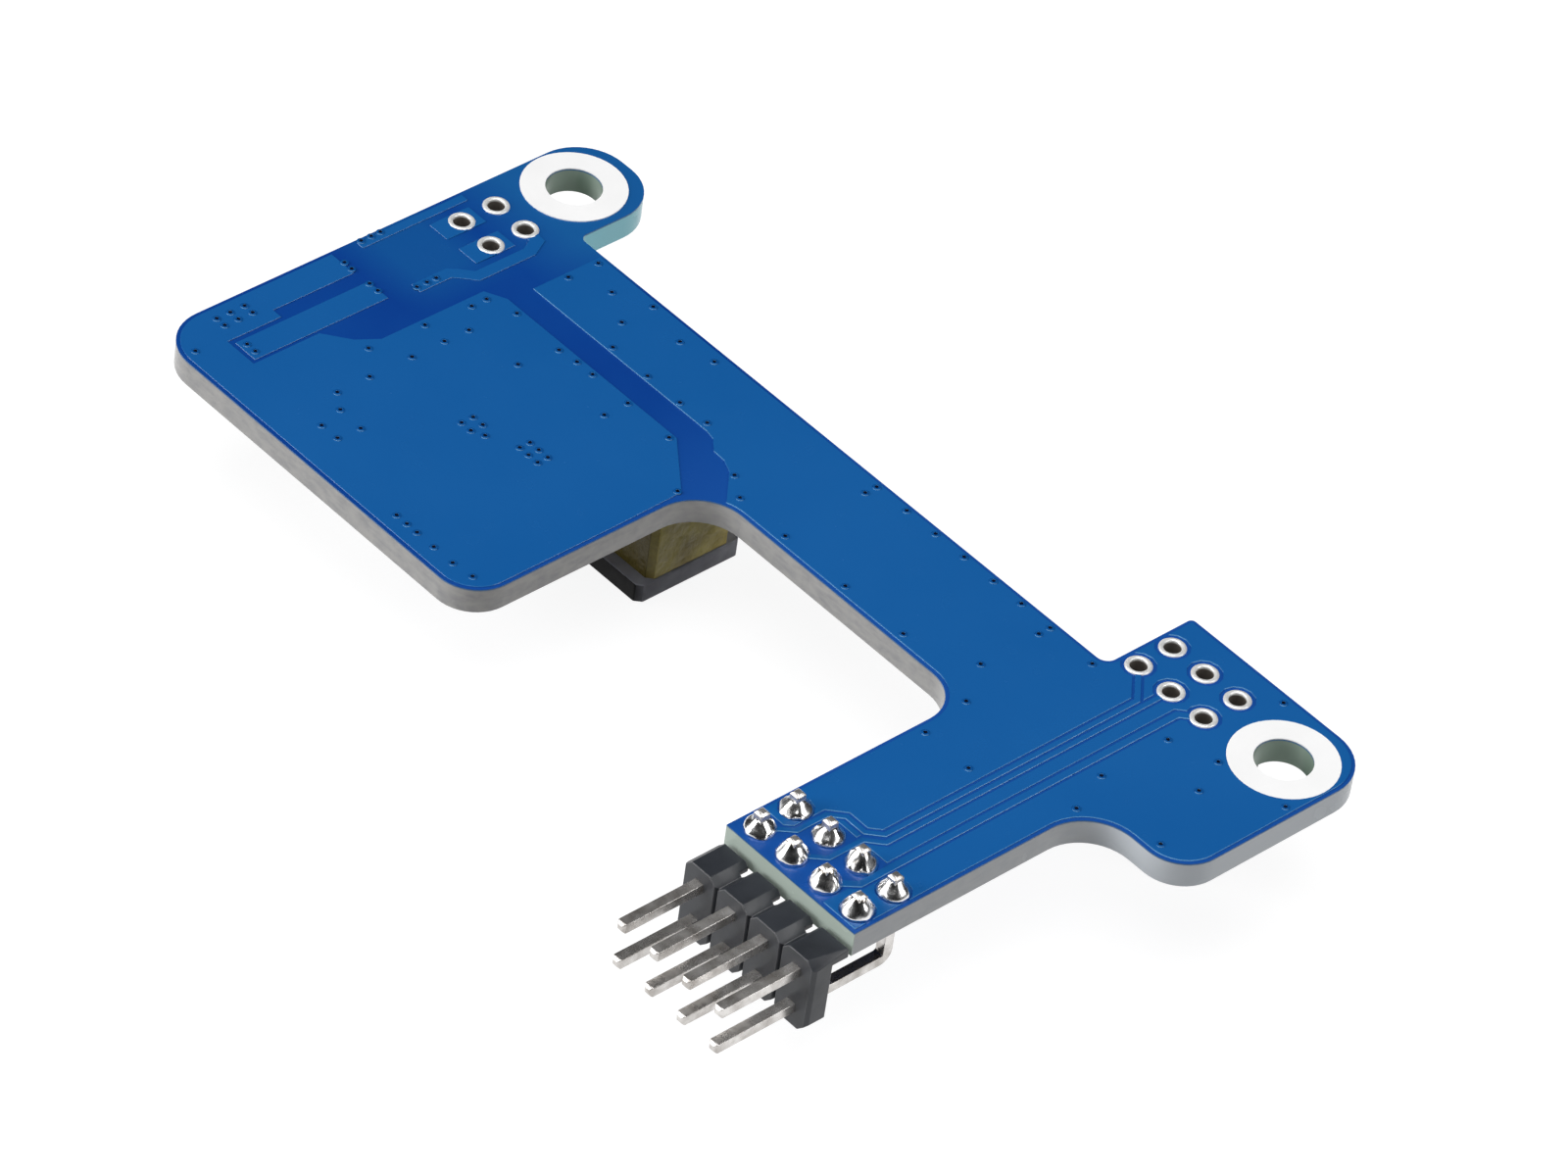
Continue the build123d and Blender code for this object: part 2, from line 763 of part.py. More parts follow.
flange_far = core_inner_far + bobbin_flange_t
flange_near = core_inner_near - bobbin_flange_t
coil_r = window_l / 2 - coil_clearance
with BuildPart() as transformer_bobbin:
    with BuildSketch(Plane.XY.offset(core_inner_far)):
        with Locations((transformer_x, transformer_y)):
            RegularPolygon(bobbin_tube_r + bobbin_wall, wound_sides)
    extrude(amount=core_inner_near - core_inner_far)
    for level in (core_inner_far, flange_near):
        with BuildSketch(Plane.XY.offset(level)):
            with Locations((transformer_x, transformer_y)):
                RegularPolygon(coil_r, wound_sides)
        extrude(amount=bobbin_flange_t)
    with BuildSketch(Plane.XY.offset(flange_near)):
        with Locations((transformer_x, transformer_y)):
            Rectangle(window_l - 2 * bobbin_web_gap, 2 * rail_y)
    extrude(amount=bobbin_flange_t)
    with BuildSketch(Plane.XY.offset(flange_near)):
        with Locations((transformer_x, transformer_y)):
            with Locations((0, -rail_y), (0, rail_y)):
                Rectangle(bobbin_rail_l, bobbin_rail_w)
    extrude(amount=rail_top - flange_near)
    with BuildSketch(Plane.XY.offset(core_inner_far)):
        with Locations((transformer_x, transformer_y)):
            RegularPolygon(bobbin_tube_r, wound_sides)
    extrude(amount=core_inner_near - core_inner_far, mode=Mode.SUBTRACT)
transformer_bobbin.part.label = "transformer_bobbin"
export_step(transformer_bobbin.part, "parts/transformer_bobbin.step")

with BuildPart() as transformer_winding:
    with BuildSketch(Plane.XY.offset(flange_far)):
        with Locations((transformer_x, transformer_y)):
            RegularPolygon(coil_r - coil_inset, wound_sides)
            RegularPolygon(bobbin_tube_r + bobbin_wall, wound_sides, mode=Mode.SUBTRACT)
    extrude(amount=flange_near - flange_far)
transformer_winding.part.label = "transformer_winding"
export_step(transformer_winding.part, "parts/transformer_winding.step")

with BuildPart() as transformer_tape:
    for length, width, cut, mode in (
        (tape_l, tape_w, core_corner_cut, Mode.ADD),
        (leg_l, leg_w, core_corner_cut - tape_t, Mode.SUBTRACT),
    ):
        with BuildSketch(Plane.XY.offset(core_inner_far)) as wrap:
            with Locations((transformer_x, transformer_y)):
                Rectangle(length, width)
            chamfer(wrap.vertices(), cut)
        extrude(amount=flange_near - core_inner_far, mode=mode)
transformer_tape.part.label = "transformer_tape"
export_step(transformer_tape.part, "parts/transformer_tape.step")

rail_outer = rail_y + bobbin_rail_w / 2
pin_places = [
    transformer_x + transformer_pin_pitch * (n - (transformer_pins_per_side - 1) / 2)
    for n in range(transformer_pins_per_side)
]
with BuildPart() as transformer_pins:
    for x in pin_places:
        for side in (-1, 1):
            gull_wing(
                x,
                transformer_y,
                0,
                side,
                rail_outer,
                rail_outer + transformer_pin_out,
                (rail_top + flange_near) / 2,
                transformer_pin_w,
                transformer_pin_t,
            )
transformer_pins.part.label = "transformer_pins"
export_step(transformer_pins.part, "parts/transformer_pins.step")

# Bulk capacitor: an aluminium can with a rolled crimp, on a moulded base
base_far_z = seat - capacitor_lead_t - capacitor_base_t
can_far_z = seat - capacitor_h
with BuildPart() as bulk_capacitor_base:
    with BuildSketch(Plane.XY.offset(base_far_z)):
        with Locations((capacitor_x, capacitor_y)):
            Rectangle(capacitor_base_l, capacitor_base_l)
    extrude(amount=capacitor_base_t)
    chamfer(
        bulk_capacitor_base.edges().filter_by(Axis.Z).group_by(Axis.X)[-1], capacitor_base_cut
    )
bulk_capacitor_base.part.label = "bulk_capacitor_base"
export_step(bulk_capacitor_base.part, "parts/bulk_capacitor_base.step")

can_r = capacitor_d / 2
crimp_z = base_far_z - capacitor_crimp_z
with BuildPart() as bulk_capacitor_can:
    for level, radius in (
        (can_far_z, can_r - capacitor_rim),
        (can_far_z + capacitor_rim, can_r),
        (crimp_z - capacitor_crimp, can_r),
        (crimp_z, can_r - capacitor_crimp),
        (crimp_z + capacitor_crimp, can_r),
        (base_far_z, can_r),
    ):
        with BuildSketch(Plane.XY.offset(level)):
            with Locations((capacitor_x, capacitor_y)):
                RegularPolygon(radius, can_sides)
    loft(ruled=True)
bulk_capacitor_can.part.label = "bulk_capacitor_can"
export_step(bulk_capacitor_can.part, "parts/bulk_capacitor_can.step")

lead_end = capacitor_base_l / 2 + capacitor_lead_out
lead_middle = (capacitor_lead_in + lead_end) / 2
with BuildPart() as bulk_capacitor_leads:
    for side in (-1, 1):
        with Locations((capacitor_x + side * lead_middle, capacitor_y, seat - capacitor_lead_t / 2)):
            Box(lead_end - capacitor_lead_in, capacitor_lead_w, capacitor_lead_t)
        foot_land(capacitor_x, capacitor_y, side, 0, capacitor_land_in, lead_end, capacitor_lead_w)
bulk_capacitor_leads.part.label = "bulk_capacitor_leads"
export_step(bulk_capacitor_leads.part, "parts/bulk_capacitor_leads.step")

# Bridge rectifiers below the network-power socket
bridge_top = seat - body_gap
bridge_level = bridge_top - bridge_h / 2
with BuildPart() as bridge_rectifier_bodies:
    for x, y in bridge_places:
        moulded_body(x, y, bridge_w, bridge_l, bridge_top, bridge_level, bridge_top - bridge_h)
bridge_rectifier_bodies.part.label = "bridge_rectifier_bodies"
export_step(bridge_rectifier_bodies.part, "parts/bridge_rectifier_bodies.step")

with BuildPart() as bridge_rectifier_leads:
    for x, y in bridge_places:
        for side in (-1, 1):
            for step in (-pitch / 2, pitch / 2):
                gull_wing(
                    x,
                    y + step,
                    side,
                    0,
                    bridge_w / 2,
                    bridge_w / 2 + bridge_lead_out,
                    bridge_level,
                    bridge_lead_w,
                    lead_t,
                )
bridge_rectifier_leads.part.label = "bridge_rectifier_leads"
export_step(bridge_rectifier_leads.part, "parts/bridge_rectifier_leads.step")

# Diodes with folded leads: place, then length, width and height
diodes = [
    (bridge_x, surge_y, surge_l, surge_w, 1.6),
    (-20.3, -25.0, 2.8, 1.6, 1.1),
    (-2.2, -5.3, 4.3, 3.6, 2.2),
]
diode_lead_under = 0.8
diode_lead_share = 0.55
diode_top = seat - lead_t - body_gap / 2


def diode_body(x, y, length, width, height):
    """A moulded two-lead diode lying along X."""
    moulded_body(x, y, length, width, diode_top, diode_top - height / 2, diode_top - height)


def diode_leads(x, y, length, width, height):
    """The diode's two leads, folded down its ends and under it."""
    level = diode_top - height / 2
    lead_w = width * diode_lead_share
    for side in (-1, 1):
        folded_lead(x, y, side, 0, length / 2, diode_lead_under, level, lead_w, lead_t)


with BuildPart() as diode_bodies:
    for diode in diodes:
        diode_body(*diode)
diode_bodies.part.label = "diode_bodies"
export_step(diode_bodies.part, "parts/diode_bodies.step")

with BuildPart() as diode_lead_strips:
    for diode in diodes:
        diode_leads(*diode)
diode_lead_strips.part.label = "diode_lead_strips"
export_step(diode_lead_strips.part, "parts/diode_lead_strips.step")

# Switching transistor
switch_x = -9.6
switch_y = -22.0
switch_l = 4.9
switch_w = 3.9
switch_h = 1.45
switch_lead_w = 0.42
switch_lead_out = 1.0
switch_top = seat - body_gap
switch_level = switch_top - switch_h / 2
with BuildPart() as switch_transistor_body:
    moulded_body(
        switch_x, switch_y, switch_l, switch_w, switch_top, switch_level, switch_top - switch_h
    )
switch_transistor_body.part.label = "switch_transistor_body"
export_step(switch_transistor_body.part, "parts/switch_transistor_body.step")

with BuildPart() as switch_transistor_leads:
    for n in range(4):
        for side in (-1, 1):
            gull_wing(
                switch_x + pitch / 2 * (n - 1.5),
                switch_y,
                0,
                side,
                switch_w / 2,
                switch_w / 2 + switch_lead_out,
                switch_level,
                switch_lead_w,
                lead_t,
            )
switch_transistor_leads.part.label = "switch_transistor_leads"
export_step(switch_transistor_leads.part, "parts/switch_transistor_leads.step")

# Optocoupler across the isolation gap
opto_top = seat - body_gap
opto_level = opto_top - opto_h / 2
with BuildPart() as optocoupler_body:
    moulded_body(opto_x, opto_y, opto_l, opto_w, opto_top, opto_level, opto_top - opto_h)
optocoupler_body.part.label = "optocoupler_body"
export_step(optocoupler_body.part, "parts/optocoupler_body.step")

with BuildPart() as optocoupler_leads:
    for step in (-pitch / 4, pitch / 4):
        for side in (-1, 1):
            gull_wing(
                opto_x + step,
                opto_y,
                0,
                side,
                opto_w / 2,
                opto_w / 2 + opto_lead_out,
                opto_level,
                opto_lead_w,
                lead_t,
            )
optocoupler_leads.part.label = "optocoupler_leads"
export_step(optocoupler_leads.part, "parts/optocoupler_leads.step")

# Shunt reference in a three-lead package
reference_x = 2.6
reference_y = -9.1
reference_l = 2.9
reference_w = 1.3
reference_h = 0.95
reference_lead_w = 0.4
reference_lead_t = 0.12
reference_lead_out = 0.55
reference_lead_step = 0.95
reference_top = seat - body_gap
reference_level = reference_top - reference_h / 2
with BuildPart() as shunt_reference_body:
    moulded_body(
        reference_x,
        reference_y,
        reference_l,
        reference_w,
        reference_top,
        reference_level,
        reference_top - reference_h,
    )
shunt_reference_body.part.label = "shunt_reference_body"
export_step(shunt_reference_body.part, "parts/shunt_reference_body.step")

with BuildPart() as shunt_reference_leads:
    for step, side in ((-1, -1), (1, -1), (0, 1)):
        gull_wing(
            reference_x + step * reference_lead_step,
            reference_y,
            0,
            side,
            reference_w / 2,
            reference_w / 2 + reference_lead_out,
            reference_level,
            reference_lead_w,
            reference_lead_t,
        )
shunt_reference_leads.part.label = "shunt_reference_leads"
export_step(shunt_reference_leads.part, "parts/shunt_reference_leads.step")

# Two leadless controllers over their groups of thermal holes
ic_h = 0.8
ic_land_t = 0.1
ic_land_w = 0.28
ic_land_l = 0.4
ic_land_pitch = 0.55
ic_land_out = 0.05
ic_paddle = 1.7
ic_edge_cut = 0.06
ic_land_row = (ic_l - ic_land_l) / 2 + ic_land_out
ic_land_steps = [ic_land_pitch * (n - 1.5) for n in range(4)]


def leadless_body(x, y):
    """A square leadless package."""
    with BuildSketch(Plane.XY.offset(seat - ic_land_t)) as block:
        with Locations((x, y)):
            Rectangle(ic_l, ic_l)
    extrude(block.sketch, amount=-ic_h)


def leadless_lands(x, y):
    """The package's metal lands and its middle paddle, down to the board."""
    with BuildSketch(Plane.XY.offset(seat - ic_land_t)) as lands:
        with Locations((x, y)):
            Rectangle(ic_paddle, ic_paddle)
            for along in ic_land_steps:
                with Locations((along, ic_land_row), (along, -ic_land_row)):
                    Rectangle(ic_land_w, ic_land_l)
                with Locations((ic_land_row, along), (-ic_land_row, along)):
                    Rectangle(ic_land_l, ic_land_w)
    extrude(lands.sketch, amount=ic_land_t + solder_t)


with BuildPart() as power_interface_ic:
    leadless_body(*power_interface_place)
    chamfer(power_interface_ic.faces().sort_by(Axis.Z)[0].edges(), ic_edge_cut)
power_interface_ic.part.label = "power_interface_ic"
export_step(power_interface_ic.part, "parts/power_interface_ic.step")

with BuildPart() as flyback_controller_ic:
    leadless_body(*flyback_controller_place)
    chamfer(flyback_controller_ic.faces().sort_by(Axis.Z)[0].edges(), ic_edge_cut)
flyback_controller_ic.part.label = "flyback_controller_ic"
export_step(flyback_controller_ic.part, "parts/flyback_controller_ic.step")

with BuildPart() as controller_lands:
    leadless_lands(*power_interface_place)
    leadless_lands(*flyback_controller_place)
controller_lands.part.label = "controller_lands"
export_step(controller_lands.part, "parts/controller_lands.step")

# Output filter inductor: a wound drum between two square end plates
inductor_x = 13.8
inductor_y = -5.35
inductor_l = 4.8
inductor_h = 2.7
inductor_plate_t = 0.7
inductor_neck_r = 1.4
inductor_cut = 0.9
inductor_strip_t = 0.15
inductor_coil_inset = 0.25
terminal_l = 1.2
terminal_w = 2.4
inductor_near_z = seat - inductor_strip_t
inductor_far_z = inductor_near_z - inductor_h
with BuildPart() as filter_inductor_core:
    with BuildSketch(Plane.XY.offset(inductor_far_z)):
        with Locations((inductor_x, inductor_y)):
            RegularPolygon(inductor_neck_r, wound_sides)
    extrude(amount=inductor_h)
    for level in (inductor_far_z, inductor_near_z - inductor_plate_t):
        with BuildSketch(Plane.XY.offset(level)) as end_plate:
            with Locations((inductor_x, inductor_y)):
                Rectangle(inductor_l, inductor_l)
            chamfer(end_plate.vertices(), inductor_cut)
        extrude(amount=inductor_plate_t)
filter_inductor_core.part.label = "filter_inductor_core"
export_step(filter_inductor_core.part, "parts/filter_inductor_core.step")

with BuildPart() as filter_inductor_winding:
    with BuildSketch(Plane.XY.offset(inductor_far_z + inductor_plate_t)):
        with Locations((inductor_x, inductor_y)):
            RegularPolygon(inductor_l / 2 - inductor_coil_inset, wound_sides)
            RegularPolygon(inductor_neck_r, wound_sides, mode=Mode.SUBTRACT)
    extrude(amount=inductor_h - 2 * inductor_plate_t)
filter_inductor_winding.part.label = "filter_inductor_winding"
export_step(filter_inductor_winding.part, "parts/filter_inductor_winding.step")

with BuildPart() as filter_inductor_terminals:
    for side in (-1, 1):
        terminal_x = inductor_x + side * (inductor_l - terminal_l) / 2
        with Locations((terminal_x, inductor_y, seat - inductor_strip_t / 2)):
            Box(terminal_l, terminal_w, inductor_strip_t)
        land(terminal_x, inductor_y, terminal_l, terminal_w)
filter_inductor_terminals.part.label = "filter_inductor_terminals"
export_step(filter_inductor_terminals.part, "parts/filter_inductor_terminals.step")

# Chip parts: place, turned or not, and size as length, width, height, end cap
chip_small = (1.6, 0.8, 0.45, 0.3)
chip_small_tall = (1.6, 0.8, 0.8, 0.35)
chip_medium = (2.0, 1.25, 0.55, 0.35)
chip_sense = (3.2, 1.6, 0.6, 0.5)
chip_large = (3.2, 2.5, 2.0, 0.6)
chip_isolation = (4.5, isolation_capacitor_w, 1.9, 0.6)
chip_led = (1.6, 0.8, 0.5, 0.3)
resistors = [
    (-15.2, -21.7, False, chip_sense),
    (-15.2, -24.0, False, chip_sense),
    (-8.4, -15.3, False, chip_medium),
    (-8.4, -17.3, False, chip_medium),
    (-24.4, -25.9, False, chip_small),
    (-24.8, -10.4, True, chip_small),
    (-24.8, -8.3, True, chip_small),
    (-24.8, -6.2, True, chip_small),
    (5.6, -9.2, False, chip_small),
    (8.2, -9.2, False, chip_small),
    (10.8, -9.2, False, chip_small),
    (20.7, -14.5, False, chip_small),
    (28.4, -8.4, False, chip_small),
]
ceramic_capacitors = [
    (-20.3, -22.6, False, chip_large),
    (-24.2, -22.6, False, chip_large),
    (3.2, -5.0, True, chip_large),
    (6.3, -5.0, True, chip_large),
    (9.4, -5.0, True, chip_large),
    (isolation_capacitor_x, -8.7, True, chip_isolation),
    (-15.6, -15.2, False, chip_small_tall),
    (-15.2, -25.9, False, chip_small_tall),
    (13.4, -9.2, False, chip_small_tall),
    (20.7, -17.0, False, chip_small_tall),
]
status_leds = [(28.4, -6.4, False, chip_led)]


def chip_bodies(places):
    """The middles of chip parts, between their metal ends."""
    for x, y, turned, (length, width, height, cap) in places:
        middle = length - 2 * cap
        with Locations((x, y, seat - height / 2)):
            Box(width if turned else middle, middle if turned else width, height)


def chip_ends(places):
    """The tinned end caps of chip parts, down to the board."""
    for x, y, turned, (length, width, height, cap) in places:
        for side in (-1, 1):
            out = side * (length - cap) / 2
            cap_x = x if turned else x + out
            cap_y = y + out if turned else y
            with Locations((cap_x, cap_y, component_face - (height + solder_t) / 2)):
                Box(width if turned else cap, cap if turned else width, height + solder_t)


with BuildPart() as chip_resistor_bodies:
    chip_bodies(resistors)
chip_resistor_bodies.part.label = "chip_resistor_bodies"
export_step(chip_resistor_bodies.part, "parts/chip_resistor_bodies.step")

with BuildPart() as ceramic_capacitor_bodies:
    chip_bodies(ceramic_capacitors)
ceramic_capacitor_bodies.part.label = "ceramic_capacitor_bodies"
export_step(ceramic_capacitor_bodies.part, "parts/ceramic_capacitor_bodies.step")

with BuildPart() as status_light_body:
    chip_bodies(status_leds)
status_light_body.part.label = "status_light_body"
export_step(status_light_body.part, "parts/status_light_body.step")

with BuildPart() as chip_end_caps:
    chip_ends(resistors)
    chip_ends(ceramic_capacitors)
    chip_ends(status_leds)
chip_end_caps.part.label = "chip_end_caps"
export_step(chip_end_caps.part, "parts/chip_end_caps.step")

# Solder under every foot on the component face
with BuildPart() as component_face_solder:
    for x, y, length, width in solder_lands:
        with Locations((x, y, component_face - solder_t / 2)):
            Box(length, width, solder_t)
component_face_solder.part.label = "component_face_solder"
export_step(component_face_solder.part, "parts/component_face_solder.step")
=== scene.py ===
import json
import math

import bpy
from mathutils import Euler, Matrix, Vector


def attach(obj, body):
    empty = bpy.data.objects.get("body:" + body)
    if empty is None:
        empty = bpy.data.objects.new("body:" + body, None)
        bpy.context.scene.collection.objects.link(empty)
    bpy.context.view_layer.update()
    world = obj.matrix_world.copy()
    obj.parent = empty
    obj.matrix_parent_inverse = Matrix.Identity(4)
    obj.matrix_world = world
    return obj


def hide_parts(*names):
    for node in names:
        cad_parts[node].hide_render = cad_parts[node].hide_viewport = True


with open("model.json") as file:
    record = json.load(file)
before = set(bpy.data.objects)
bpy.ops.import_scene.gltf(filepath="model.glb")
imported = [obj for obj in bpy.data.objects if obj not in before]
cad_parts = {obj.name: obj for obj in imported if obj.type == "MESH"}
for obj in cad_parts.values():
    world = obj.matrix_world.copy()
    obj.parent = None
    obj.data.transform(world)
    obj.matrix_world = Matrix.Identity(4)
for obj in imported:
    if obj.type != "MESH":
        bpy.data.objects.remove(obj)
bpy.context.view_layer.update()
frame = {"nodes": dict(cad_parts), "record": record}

nodes = frame["nodes"]

# Sizes are written in millimetres, and MM turns them into the scene's metres
MM = 0.001

# Camera, fitted to the holes and the board's straight edges, in millimetres and degrees
camera_place = (242.54, -273.55, 305.49)
camera_turn = (48.853, -6.547, 48.228)
camera_lens = 199.6
sensor_w = 36.0
nearest_seen = 10
farthest_seen = 10000

# Room: a dim one with two darker walls, a white floor and a pale backdrop
board_middle = (0, -12, 0)
floor_z = -10.13
floor_size = 3000
floor_colour = 0.22
floor_rough = 0.9
floor_glow = 0.89
room_light = 0.0255
dark_wall_light = 0.0061
dark_walls = [(-0.51, 0.58, 0.64), (0.64, -0.76, 0.1)]
dark_wall_span = (0.72, 0.92)
backdrop_glow = 0.97

# Lamps, each with its place, its size and its power
lamps = [
    ("key", (60, -160, 620), 520, 3.3),
    ("left_box", (-330, -470, 200), 400, 2.8),
    ("right_box", (480, 260, 330), 300, 1.2),
]

# Levels of the board, counted from its solder face
copper_top = 0.05
component_face = -1.6

# Where the board's colours change, from where a tint starts to where it is full
# The pale corner, the power lobe, the trunk, the outer end and the arm's end are tints of painted light
pale_corner_x = (-24.8, -27.5)
pale_corner_low_y = (-15.0, -12.5)
pale_corner_high_y = (-7.0, -9.5)
power_end_x = (-19.5, -25.0)
power_lobe_mask_y = (-7.2, -3.0)
power_lobe_cut_y = (-4.6, -2.0)
trunk_x = (-12.0, -3.0)
component_side_z = (-1.0, -1.4)
outer_end_x = (24.0, 27.5)
arm_end_y = (-27.86, -27.9)
mask_bead_z = (-0.14, -0.04)
hole_wall_reach = (1.9, 1.7)

# Where painted shade falls in the tinned holes and on the faces under the board, and where the pins' cut
# ends begin
hole_shade_z = (0.0, -0.12)
hole_foot_z = (-1.59, -1.5)
below_board_z = (-1.5, -1.7)
behind_arm_end_y = (-28.4, -27.9)
pin_tip_z = (0.9, 1.1)

# Where masks start and are full, in the height of a noise or in how far a face turns away
patch_span = (0.35, 0.68)
gloss_span = (0.3, 0.7)
layer_span = (0.4, 0.8)
# The next two mark painted highlights: on every corner, and on corners that face the bright side
corner_highlight_span = (0.99, 0.85)
lit_span = (0.4, 0.8)
cut_edge_span = (0.6, 0.4)
shaded_side_span = (0.5, 0.8)

# Ways that faces look: to the bright side of the photo, up, and the way the header's pins point
bright_side = (0.62, -0.75, 0.25)
upward = (0, 0, 1)
pin_side = (0, -1, 0)

# Grain of the effects: layers of detail in each noise, rays for each corner, laminate layers in a metre
patch_detail = 4
gloss_detail = 3
layer_detail = 3
corner_rays = 6
laminate_layers = (900, 900, 3600)

# Small holes under the mask, each a collar round a pit
via_r = 0.12
via_collar_r = 0.25
via_collar_h = 0.03
via_slope_w = 0.07
via_slope_h = 0.02
via_pit_depth = 0.03
via_pit_margin = 1.02
via_sides = 12

# Mounting holes, pin holes and their rims
mounting_x = 29
pitch = 2.54
half_pitch = pitch / 2
signal_middle_x = 21.59
power_middle_x = -28.92
power_middle_y = -6.06
signal_holes = [(signal_middle_x + pitch * n, side * half_pitch) for n in (-1, 0, 1) for side in (-1, 1)]
power_holes = [
    (power_middle_x + side * half_pitch, power_middle_y + row * half_pitch)
    for side in (-1, 1)
    for row in (-1, 1)
]
hole_wall_r = 0.5
barrel_wall = 0.075
pad_r = 0.79
rim_h = 0.11
rim_steps = 8
rim_sides = 32

# Solder joints of the header: radius and height from the board to the tip, and each one's share of
# that height
header_middle_x = 20.7
header_rows_y = (-26.68, -24.14)
joint_places = [(header_middle_x + pitch * n, y) for n in (-1.5, -0.5, 0.5, 1.5) for y in header_rows_y]
joint_profile = [
    (0.9, -0.01),
    (0.94, 0.06),
    (0.91, 0.2),
    (0.83, 0.36),
    (0.72, 0.52),
    (0.6, 0.68),
    (0.49, 0.84),
    (0.41, 0.97),
    (0.34, 1.06),
    (0.25, 1.13),
    (0.12, 1.175),
    (0.002, 1.185),
]
joint_sides = 28
low_joint = 0.74
joint_heights = [low_joint, low_joint, 1.0, low_joint, 1.0, 1.0, 1.0, 0.86]
lump_size = 0.55
lump_height = 0.12
facet_size = 0.5
facet_height = 0.06

# What the modelling works to: angles in degrees, gaps in millimetres, and how far up a top face looks
flat_angle = 1
corner_angle = 25
smooth_angle = 35
small_form_smooth_angle = 40
weld_gap = 0.002
tip_weld_gap = 0.003
level_enough = 0.9


def srgb(red, green, blue):
    """A colour as it looks on a screen, from 0 to 255, as a linear colour."""
    levels = [value / 255 for value in (red, green, blue)]
    return (*[v / 12.92 if v <= 0.04045 else ((v + 0.055) / 1.055) ** 2.4 for v in levels], 1)


# Steps that materials and the room are put together from
def feed(tree, value, target):
    """Give an input its value, which may be fixed or come from another node."""
    if isinstance(value, bpy.types.NodeSocket):
        tree.links.new(value, target)
    else:
        target.default_value = value


def maths(tree, operation, *values):
    """Arithmetic on values that may be fixed or come from other nodes."""
    step = tree.nodes.new("ShaderNodeMath")
    step.operation = operation
    for value, target in zip(values, step.inputs):
        feed(tree, value, target)
    return step.outputs["Value"]


def both(tree, first, second):
    """Where two masks are both set."""
    return maths(tree, "MULTIPLY", first, second)


def facing(tree, direction, way):
    """How nearly a direction points one way, from -1 to 1."""
    product = tree.nodes.new("ShaderNodeVectorMath")
    product.operation = "DOT_PRODUCT"
    feed(tree, direction, product.inputs[0])
    feed(tree, way, product.inputs[1])
    return product.outputs["Value"]


def ramp(tree, value, span):
    """A mask that is 0 where a value meets the start of a span and 1 at its end."""
    start, stop = span
    spread = tree.nodes.new("ShaderNodeMapRange")
    spread.inputs["From Min"].default_value = start
    spread.inputs["From Max"].default_value = stop
    tree.links.new(value, spread.inputs["Value"])
    return spread.outputs["Result"]


def along(tree, place, span):
    """A mask over a stretch of the piece, given in millimetres."""
    return ramp(tree, place, [end * MM for end in span])


def mix_colour(tree, mask, first, second):
    """A colour between two, which may be fixed or come from other nodes."""
    mix = tree.nodes.new("ShaderNodeMix")
    mix.data_type = "RGBA"
    tree.links.new(mask, mix.inputs["Factor"])
    feed(tree, first, mix.inputs["A"])
    feed(tree, second, mix.inputs["B"])
    return mix.outputs["Result"]


def noise(tree, scale, detail):
    """A noise over the piece's own space."""
    place = tree.nodes.new("ShaderNodeTexCoord")
    cloud = tree.nodes.new("ShaderNodeTexNoise")
    tree.links.new(place.outputs["Object"], cloud.inputs["Vector"])
    feed(tree, scale, cloud.inputs["Scale"])
    feed(tree, detail, cloud.inputs["Detail"])
    return cloud.outputs["Fac"]


def object_place(tree):
    """The three coordinates of a point of the piece."""
    place = tree.nodes.new("ShaderNodeTexCoord")
    split = tree.nodes.new("ShaderNodeSeparateXYZ")
    tree.links.new(place.outputs["Object"], split.inputs["Vector"])
    return split.outputs


# Effects that several materials share
def new_group(name, inputs, outputs):
    """An empty node group with named sockets, and its two end nodes."""
    group = bpy.data.node_groups.new(name, "ShaderNodeTree")
    for socket, kind in inputs:
        group.interface.new_socket(socket, in_out="INPUT", socket_type=kind)
    for socket, kind in outputs:
        group.interface.new_socket(socket, in_out="OUTPUT", socket_type=kind)
    return group, group.nodes.new("NodeGroupInput"), group.nodes.new("NodeGroupOutput")


def build_patchy_colour():
    """Two colours in soft patches."""
    group, start, end = new_group(
        "patchy_colour",
        [("Base", "NodeSocketColor"), ("Patch", "NodeSocketColor"), ("Scale", "NodeSocketFloat")],
        [("Color", "NodeSocketColor")],
    )
    cloud = noise(group, start.outputs["Scale"], patch_detail)
    patches = ramp(group, cloud, patch_span)
    colour = mix_colour(group, patches, start.outputs["Base"], start.outputs["Patch"])
    group.links.new(colour, end.inputs["Color"])
    return group


def build_uneven_gloss():
    """A roughness that wanders between two values."""
    group, start, end = new_group(
        "uneven_gloss",
        [("Low", "NodeSocketFloat"), ("High", "NodeSocketFloat"), ("Scale", "NodeSocketFloat")],
        [("Roughness", "NodeSocketFloat")],
    )
    cloud = noise(group, start.outputs["Scale"], gloss_detail)
    rough = ramp(group, cloud, gloss_span)
    group.links.new(start.outputs["Low"], rough.node.inputs["To Min"])
    group.links.new(start.outputs["High"], rough.node.inputs["To Max"])
    group.links.new(rough, end.inputs["Roughness"])
    return group


def build_surface_grain():
    """An unevenness of the surface, as a normal, fine where its detail is high."""
    group, start, end = new_group(
        "surface_grain",
        [("Scale", "NodeSocketFloat"), ("Depth", "NodeSocketFloat"), ("Detail", "NodeSocketFloat")],
        [("Normal", "NodeSocketVector")],
    )
    cloud = noise(group, start.outputs["Scale"], start.outputs["Detail"])
    bump = group.nodes.new("ShaderNodeBump")
    bump.inputs["Strength"].default_value = 1.0
    group.links.new(start.outputs["Depth"], bump.inputs["Distance"])
    group.links.new(cloud, bump.inputs["Height"])
    group.links.new(bump.outputs["Normal"], end.inputs["Normal"])
    return group


